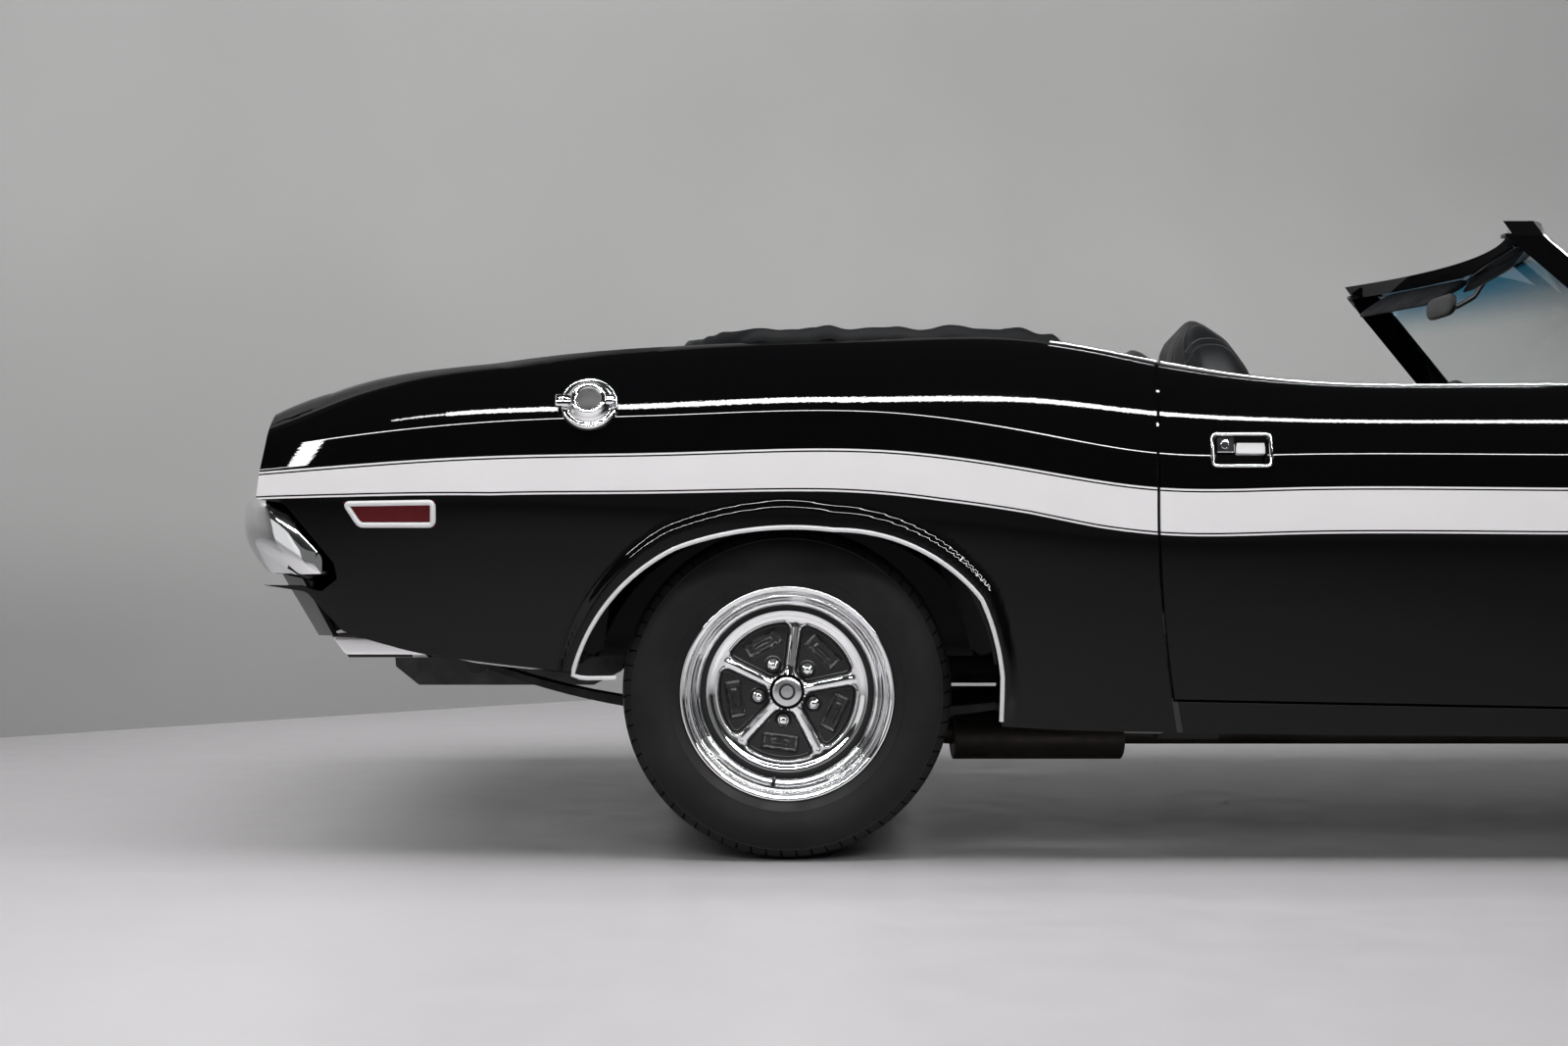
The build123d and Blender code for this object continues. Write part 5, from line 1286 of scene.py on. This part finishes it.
def buildBoot():
    # A band that runs up one side, across behind the seat and down the other.
    outer, inner = np.array(boot["outer"]), np.array(boot["inner"])
    d = np.linalg.norm(np.diff((outer + inner) / 2, axis=0), axis=1)
    arc = np.concatenate([[0], np.cumsum(d)])
    u = np.linspace(0, arc[-1], boot["along"])
    lines = []
    for line in (inner, outer):
        p = np.stack([np.interp(u, arc, line[:, i]) for i in (0, 1)], -1)
        for _ in range(40):
            p[1:-1] = (p[:-2] + 2 * p[1:-1] + p[2:]) / 4
        lines.append(p)
    v = (1 - np.cos(np.linspace(0, math.pi, boot["across"]))) / 2
    xy = lines[0][:, None] * (1 - v[None, :, None]) + lines[1][:, None] * v[None, :, None]
    x, y = xy[..., 0], xy[..., 1]
    width = np.linalg.norm(lines[1] - lines[0], axis=1)[:, None]
    near = np.minimum(np.minimum(v * width, (1 - v) * width), np.minimum(u, u[-1] - u)[:, None] + 0.002)
    bevel = share(1 - near / boot["edge"])
    rise = np.interp(x, [-1.56, -1.30, -1.00, -0.74], [0.010, 0.018, 0.015, 0.010])
    z = np.interp(x, [-1.56, -1.42, -1.30, -1.00, -0.84, -0.74], [1.011, 1.020, 1.027, 1.029, 1.026, 1.018])
    z += rise * (1 - (y / 0.84) ** 2)
    # Folds stand across the arms, gathers run fore and aft over the well; both die out at the inner edge.
    out = np.abs(y)
    onArm = share((out - 0.52) / 0.10)
    for at, high in boot["folds"]:
        dx = x - at - 0.22 * (out - 0.78) - 0.012 * np.sin(9 * y)
        z += onArm * high * np.exp(-np.abs(dx / np.where(dx > 0, 0.026, 0.044)) ** 2.2)
    onWell = share((0.62 - out) / 0.10) * share((-1.12 - x) / 0.10) ** 0.5
    for at, high in boot["gathers"]:
        dy = y - at - 0.10 * (x + 1.3) - 0.010 * np.sin(17 * x)
        z += onWell * high * np.exp(-np.abs(dy / 0.030) ** 1.5)
    z += 0.0022 * np.sin(37 * x + 11 * y) * np.sin(23 * y - 9 * x)
    z += 0.0014 * np.sin(83 * x - 41 * y + 2 * np.sin(31 * y))
    z -= boot["fall"] * (1 - np.sqrt(1 - bevel ** 2))
    # A rolled welt just inside the outer edge.
    z += boot["weltHigh"] * np.exp(-((near - boot["weltIn"]) / 0.0035) ** 2)
    z = np.maximum(z, boot["floor"])
    cover = makeMesh("bootCover", np.stack([x, y, z], -1).reshape(-1, 3), gridQuads(*x.shape)[:, ::-1],
                     "vinyl", "body", None)
    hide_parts("top_boot")


def roundedTube(z, back, front, half, shrink, around, power):
    # Rings of a rounded oblong, one for each height.
    a = np.linspace(0, 2 * math.pi, around, endpoint=False)
    c, s = np.cos(a), np.sin(a)
    cx = np.sign(c) * np.abs(c) ** (2 / power)
    sy = np.sign(s) * np.abs(s) ** (2 / power)
    mid, deep = (front + back) / 2, (front - back) / 2
    x = mid[:, None] + (deep * np.minimum(shrink * 1.6, 1))[:, None] * cx
    y = (half * shrink)[:, None] * sy
    return x, y, np.broadcast_to(z[:, None], x.shape)


seatInfo = dict(out=0.392, low=0.405, top=1.0845, dish=0.020, welt=0.0035, around=128, levels=60)
# Cushions: low, high, back, front, half width and the power that squares the corners.
cushions = dict(seat=(0.325, 0.470, -0.300, 0.158, 0.254, 4.0),
                bench=(0.403, 0.505, -0.985, -0.602, 0.628, 7.0),
                lean=(0.440, 0.900, -1.108, -0.985, 0.632, 7.0))


def seatBack(side):
    # A shell with a rounded head; "turn" is the angle about the upright, from the front face.
    t = np.sin(np.linspace(0, 0.5 * math.pi, seatInfo["levels"])) ** 1.1
    z = seatInfo["low"] + (seatInfo["top"] - seatInfo["low"]) * t
    back = np.interp(z, [0.38, 0.80, 0.93, 1.02, 1.086], [-0.420, -0.492, -0.496, -0.490, -0.462])
    front = np.interp(z, [0.43, 0.60, 0.90, 0.97, 1.03, 1.086],
                      [-0.235, -0.262, -0.306, -0.330, -0.362, -0.412])
    half = np.interp(z, [0.40, 0.52, 0.75, 0.90, 1.086], [0.225, 0.245, 0.262, 0.252, 0.222])
    shrink = np.maximum(1 - share((z - 0.84) / (seatInfo["top"] - 0.84)) ** 2.6, 1e-4) ** 0.5
    x, y, zz = roundedTube(z, back, front, half, shrink, seatInfo["around"], 2.6)
    turn = np.linspace(0, 2 * math.pi, seatInfo["around"], endpoint=False)
    turn = np.abs((turn + math.pi) % (2 * math.pi) - math.pi)
    # The front face is dished between two side rolls; a welt runs up each side, before and behind.
    face = share((1.35 - turn) / 0.5)
    hollow = seatInfo["dish"] * face * face * (3 - 2 * face) * np.exp(-(y / 0.13) ** 4)
    hollow = hollow * share(shrink * 1.6 - 0.6)[:, None]
    welt = seatInfo["welt"] * sum(np.exp(-((turn - at) / 0.045) ** 2) for at in (0.72, 2.30))
    mid = ((front + back) / 2)[:, None]
    x = x - hollow + welt * np.sign(x - mid) * share(shrink)[:, None]
    y = y + welt * np.sign(y) * share(shrink)[:, None]
    verts = np.stack([x, side * (seatInfo["out"] + y), zz], -1).reshape(-1, 3)
    grid = gridQuads(*x.shape, closeV=True)
    return capRings(verts, grid if side > 0 else grid[:, ::-1], *x.shape)


def cushion(low, high, back, front, half, power, middle, tilt=0.0, around=112, levels=22):
    # Rings from low to high, closer at both ends, drawn in by a high power of the height.
    t = np.sin(np.linspace(-1, 1, levels) * math.pi / 2)
    z = (low + high) / 2 + (high - low) / 2 * t
    shrink = np.maximum(1 - np.abs(t) ** 3.2, 0.0) ** 0.16
    shrink = np.where(np.abs(t) > 0.999, 0.72, np.maximum(shrink, 0.72))
    one = np.ones(levels)
    x, y, zz = roundedTube(z, back * one, front * one, half * one, shrink, around, power)
    # Crowned top, falling to the piped edge.
    fall = (high - low) * 0.10 * (t > 0.9)[:, None]
    zz = zz + fall * (1 - (y / half) ** 2) - fall + tilt * (x - (front + back) / 2)
    return cappedGrid(x, middle + y, zz)


def seatMaterial():
    # Sewn channels every 62 mm across each seat, over the vinyl's grain.
    mat, tree, shader = newMaterial("seatPleated", (0.0070, 0.0076, 0.0090), 0.4, 0.0, 0.22)
    x, y, z = split(tree, objectCoords(tree))
    across = calc(tree, "SUBTRACT", calc(tree, "ABSOLUTE", y), seatInfo["out"])
    apart = calc(tree, "ABSOLUTE", across)
    within = ramp(tree, apart, 0.150, 0.158, 1.0, 0.0)
    channel = calc(tree, "PINGPONG", calc(tree, "ADD", across, 10.013), 0.031)
    groove = calc(tree, "MULTIPLY", ramp(tree, channel, 0.0, 0.0045, 1.0, 0.0), within)
    welt = ramp(tree, calc(tree, "ABSOLUTE", calc(tree, "SUBTRACT", apart, 0.168)), 0.0, 0.004, 1.0, 0.0)
    sewn = bump(tree, calc(tree, "SUBTRACT", welt, groove), 1.0, 0.004)
    soft = bump(tree, noise(tree, 24.0, 3.0), 0.20, 0.002, sewn)
    wear(tree, shader, None, (12.0, 4.0, 0.3, 0.8, 0.32, 0.52), (700.0, 2.0, 0.3, 0.0004), soft)
    return mat


mats["seatPleated"] = seatMaterial()


def buildSeats():
    for side, word in sides:
        middle = side * seatInfo["out"]
        back = piece(f"seatBack_{word}", [seatBack(side)], "seatPleated", sharp=60)
        pad = cushion(*cushions["seat"], middle, 0.06)
        base = piece(f"seatCushion_{word}", [pad], "seatPleated", sharp=60)
        rails = [bevelBox((-0.33, middle + y - 0.02, 0.2565), (0.12, middle + y + 0.02, 0.335), 0.003)
                 for y in (-0.195, 0.195)]
        piece(f"seatRails_{word}", rails, "iron", sharp=40)
        if side < 0:
            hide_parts("front_seats")
    low = cushion(*cushions["bench"], 0.0, -0.03, 160)
    high = cushion(*cushions["lean"], 0.0, 0.0, 160, 30)
    bench = piece("rearCushion", [low], "seatVinyl", sharp=60)
    lean = piece("rearBack", [high], "seatVinyl", sharp=60)
    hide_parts("rear_seat")


# Sun visors: where the hinge stands, the turn in plan in degrees and the section through one.
visors = dict(x=0.292, out=0.322, turn=-14, half=0.185, z=1.2381,
              section=[(-0.110, -0.062), (-0.096, -0.068), (0.000, -0.016), (0.004, -0.004),
                       (-0.006, -0.0005), (-0.020, -0.006)])
mirror = dict(half=0.108, stalk=0.006,
              section=[(0.214, 1.130), (0.231, 1.128), (0.233, 1.178), (0.216, 1.180)],
              path=[(0.230, 0, 1.152), (0.262, 0, 1.156), (0.300, 0, 1.178), (0.338, 0, 1.236)])


def ovalBlock(section, y, half, pull):
    # A section carried across the car and drawn in towards its middle at each end.
    grid = section.mean(0) + (section - section.mean(0)) * pull[:, None, None]
    return grid[..., 0], np.broadcast_to((y * half)[:, None], grid.shape[:2]), grid[..., 1]


def buildVisors():
    for side, word in sides:
        y = np.linspace(-1, 1, 34)
        pull = 1 - 0.30 * share((np.abs(y) - 0.80) / 0.20) ** 2
        a, b, z = ovalBlock(cutCorners(visors["section"], 2, True), y, visors["half"], pull)
        turn = math.radians(visors["turn"]) * -side
        c, s = math.cos(turn), math.sin(turn)
        shape = cappedGrid(visors["x"] + c * a - s * b, side * visors["out"] + s * a + c * b, visors["z"] + z)
        pad = piece(f"sunVisor_{word}", [shape], "vinyl")
        if side < 0:
            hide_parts("sun_visors")
    # Mirror: a rounded head on a bent stalk.
    y = np.sin(np.linspace(-1, 1, 30) * math.pi / 2)
    pull = np.maximum(1 - np.abs(y) ** 6, 0.05) ** 0.5
    head = cappedGrid(*ovalBlock(cutCorners(mirror["section"], 2, True), y, mirror["half"], pull))
    t = np.linspace(0, 2 * math.pi, 12, endpoint=False)
    stalk = sweep(mirror["path"], mirror["stalk"] * np.stack([np.cos(t), np.sin(t)], -1), (0, 1, 0))
    piece("cabinMirror", [head, stalk], "blackPlastic")


# The glass line: z, x at the corner, x on the centre line, half width.
glassRows = np.array([(0.906, 0.548, 0.792, 0.736), (1.072, 0.388, 0.585, 0.664),
                      (1.238, 0.228, 0.366, 0.592)])


def glassAt(z):
    # The three x and y measures at height z, straight between the rows.
    return (np.interp(z, glassRows[:, 0], glassRows[:, i]) for i in (1, 2, 3))


screenTrim = dict(band=[(-0.018, -0.004), (0.018, -0.004), (0.018, 0.004), (0.006, 0.008), (-0.018, 0.005)],
                  top=1.238, bandUp=0.024, bandOut=0.026, bandBack=-0.004, pillarAhead=0.0155,
                  pillarOut=0.029)


def buildScreenTrim():
    band = cutCorners(screenTrim["band"], 2, True)
    # The bow over the top edge is a parabola across the car.
    t = np.linspace(-1, 1, 41)
    corner, centre, half = glassAt(screenTrim["top"])
    bow = corner + (centre - corner) * (1 - t ** 2) + screenTrim["bandBack"]
    z = np.full(len(t), screenTrim["top"] + screenTrim["bandUp"])
    line = np.stack([bow, (half + screenTrim["bandOut"]) * t, z], -1)
    piece("headerTrim", [sweep(line, band, (0.25, 0, 1))], "chrome")
    for side, word in sides:
        z = np.linspace(0.912, 1.240, 24)
        corner, centre, half = glassAt(z)
        line = np.stack([corner + screenTrim["pillarAhead"], side * (half + screenTrim["pillarOut"]), z], -1)
        strip = sweep(line, halfRound(0.010, 0.005), (1, side * 0.9, 0.5))
        piece(f"pillarTrim_{word}", [strip], "brightTrim")


# Headlamps: profiles of (forward, r) from the outside in.
lamps = dict(x=2.2961, z=0.637, outs=(0.548, 0.716),
             bezel=[(0.0, 0.0800), (0.018, 0.0795), (0.0265, 0.0775), (0.0290, 0.0745), (0.0270, 0.0715),
                    (0.0190, 0.0690), (0.0140, 0.0680)],
             lens=[(0.0140, 0.0690), (0.0190, 0.0660), (0.0240, 0.0550), (0.0275, 0.0400), (0.0292, 0.0200),
                   (0.0297, 0.0)])


def buildHeadlamps():
    places = [(lamps["x"], side * out, lamps["z"]) for out in lamps["outs"] for side in (-1, 1)]
    bezels, lenses = ([disc(lamps[part], 56, at, (1, 0, 0), (0, 1, 0)) for at in places]
                      for part in ("bezel", "lens"))
    shell = piece("lampBezels", bezels, "chrome")
    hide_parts("headlamps")
    piece("lampLenses", lenses, "clearLens")


buildBumpers()
buildTips()
print("stage: bumpers")
buildBoot()
buildSeats()
buildVisors()
print("stage: soft trim")
buildScreenTrim()
buildHeadlamps()
print("stage: screen and lamps")
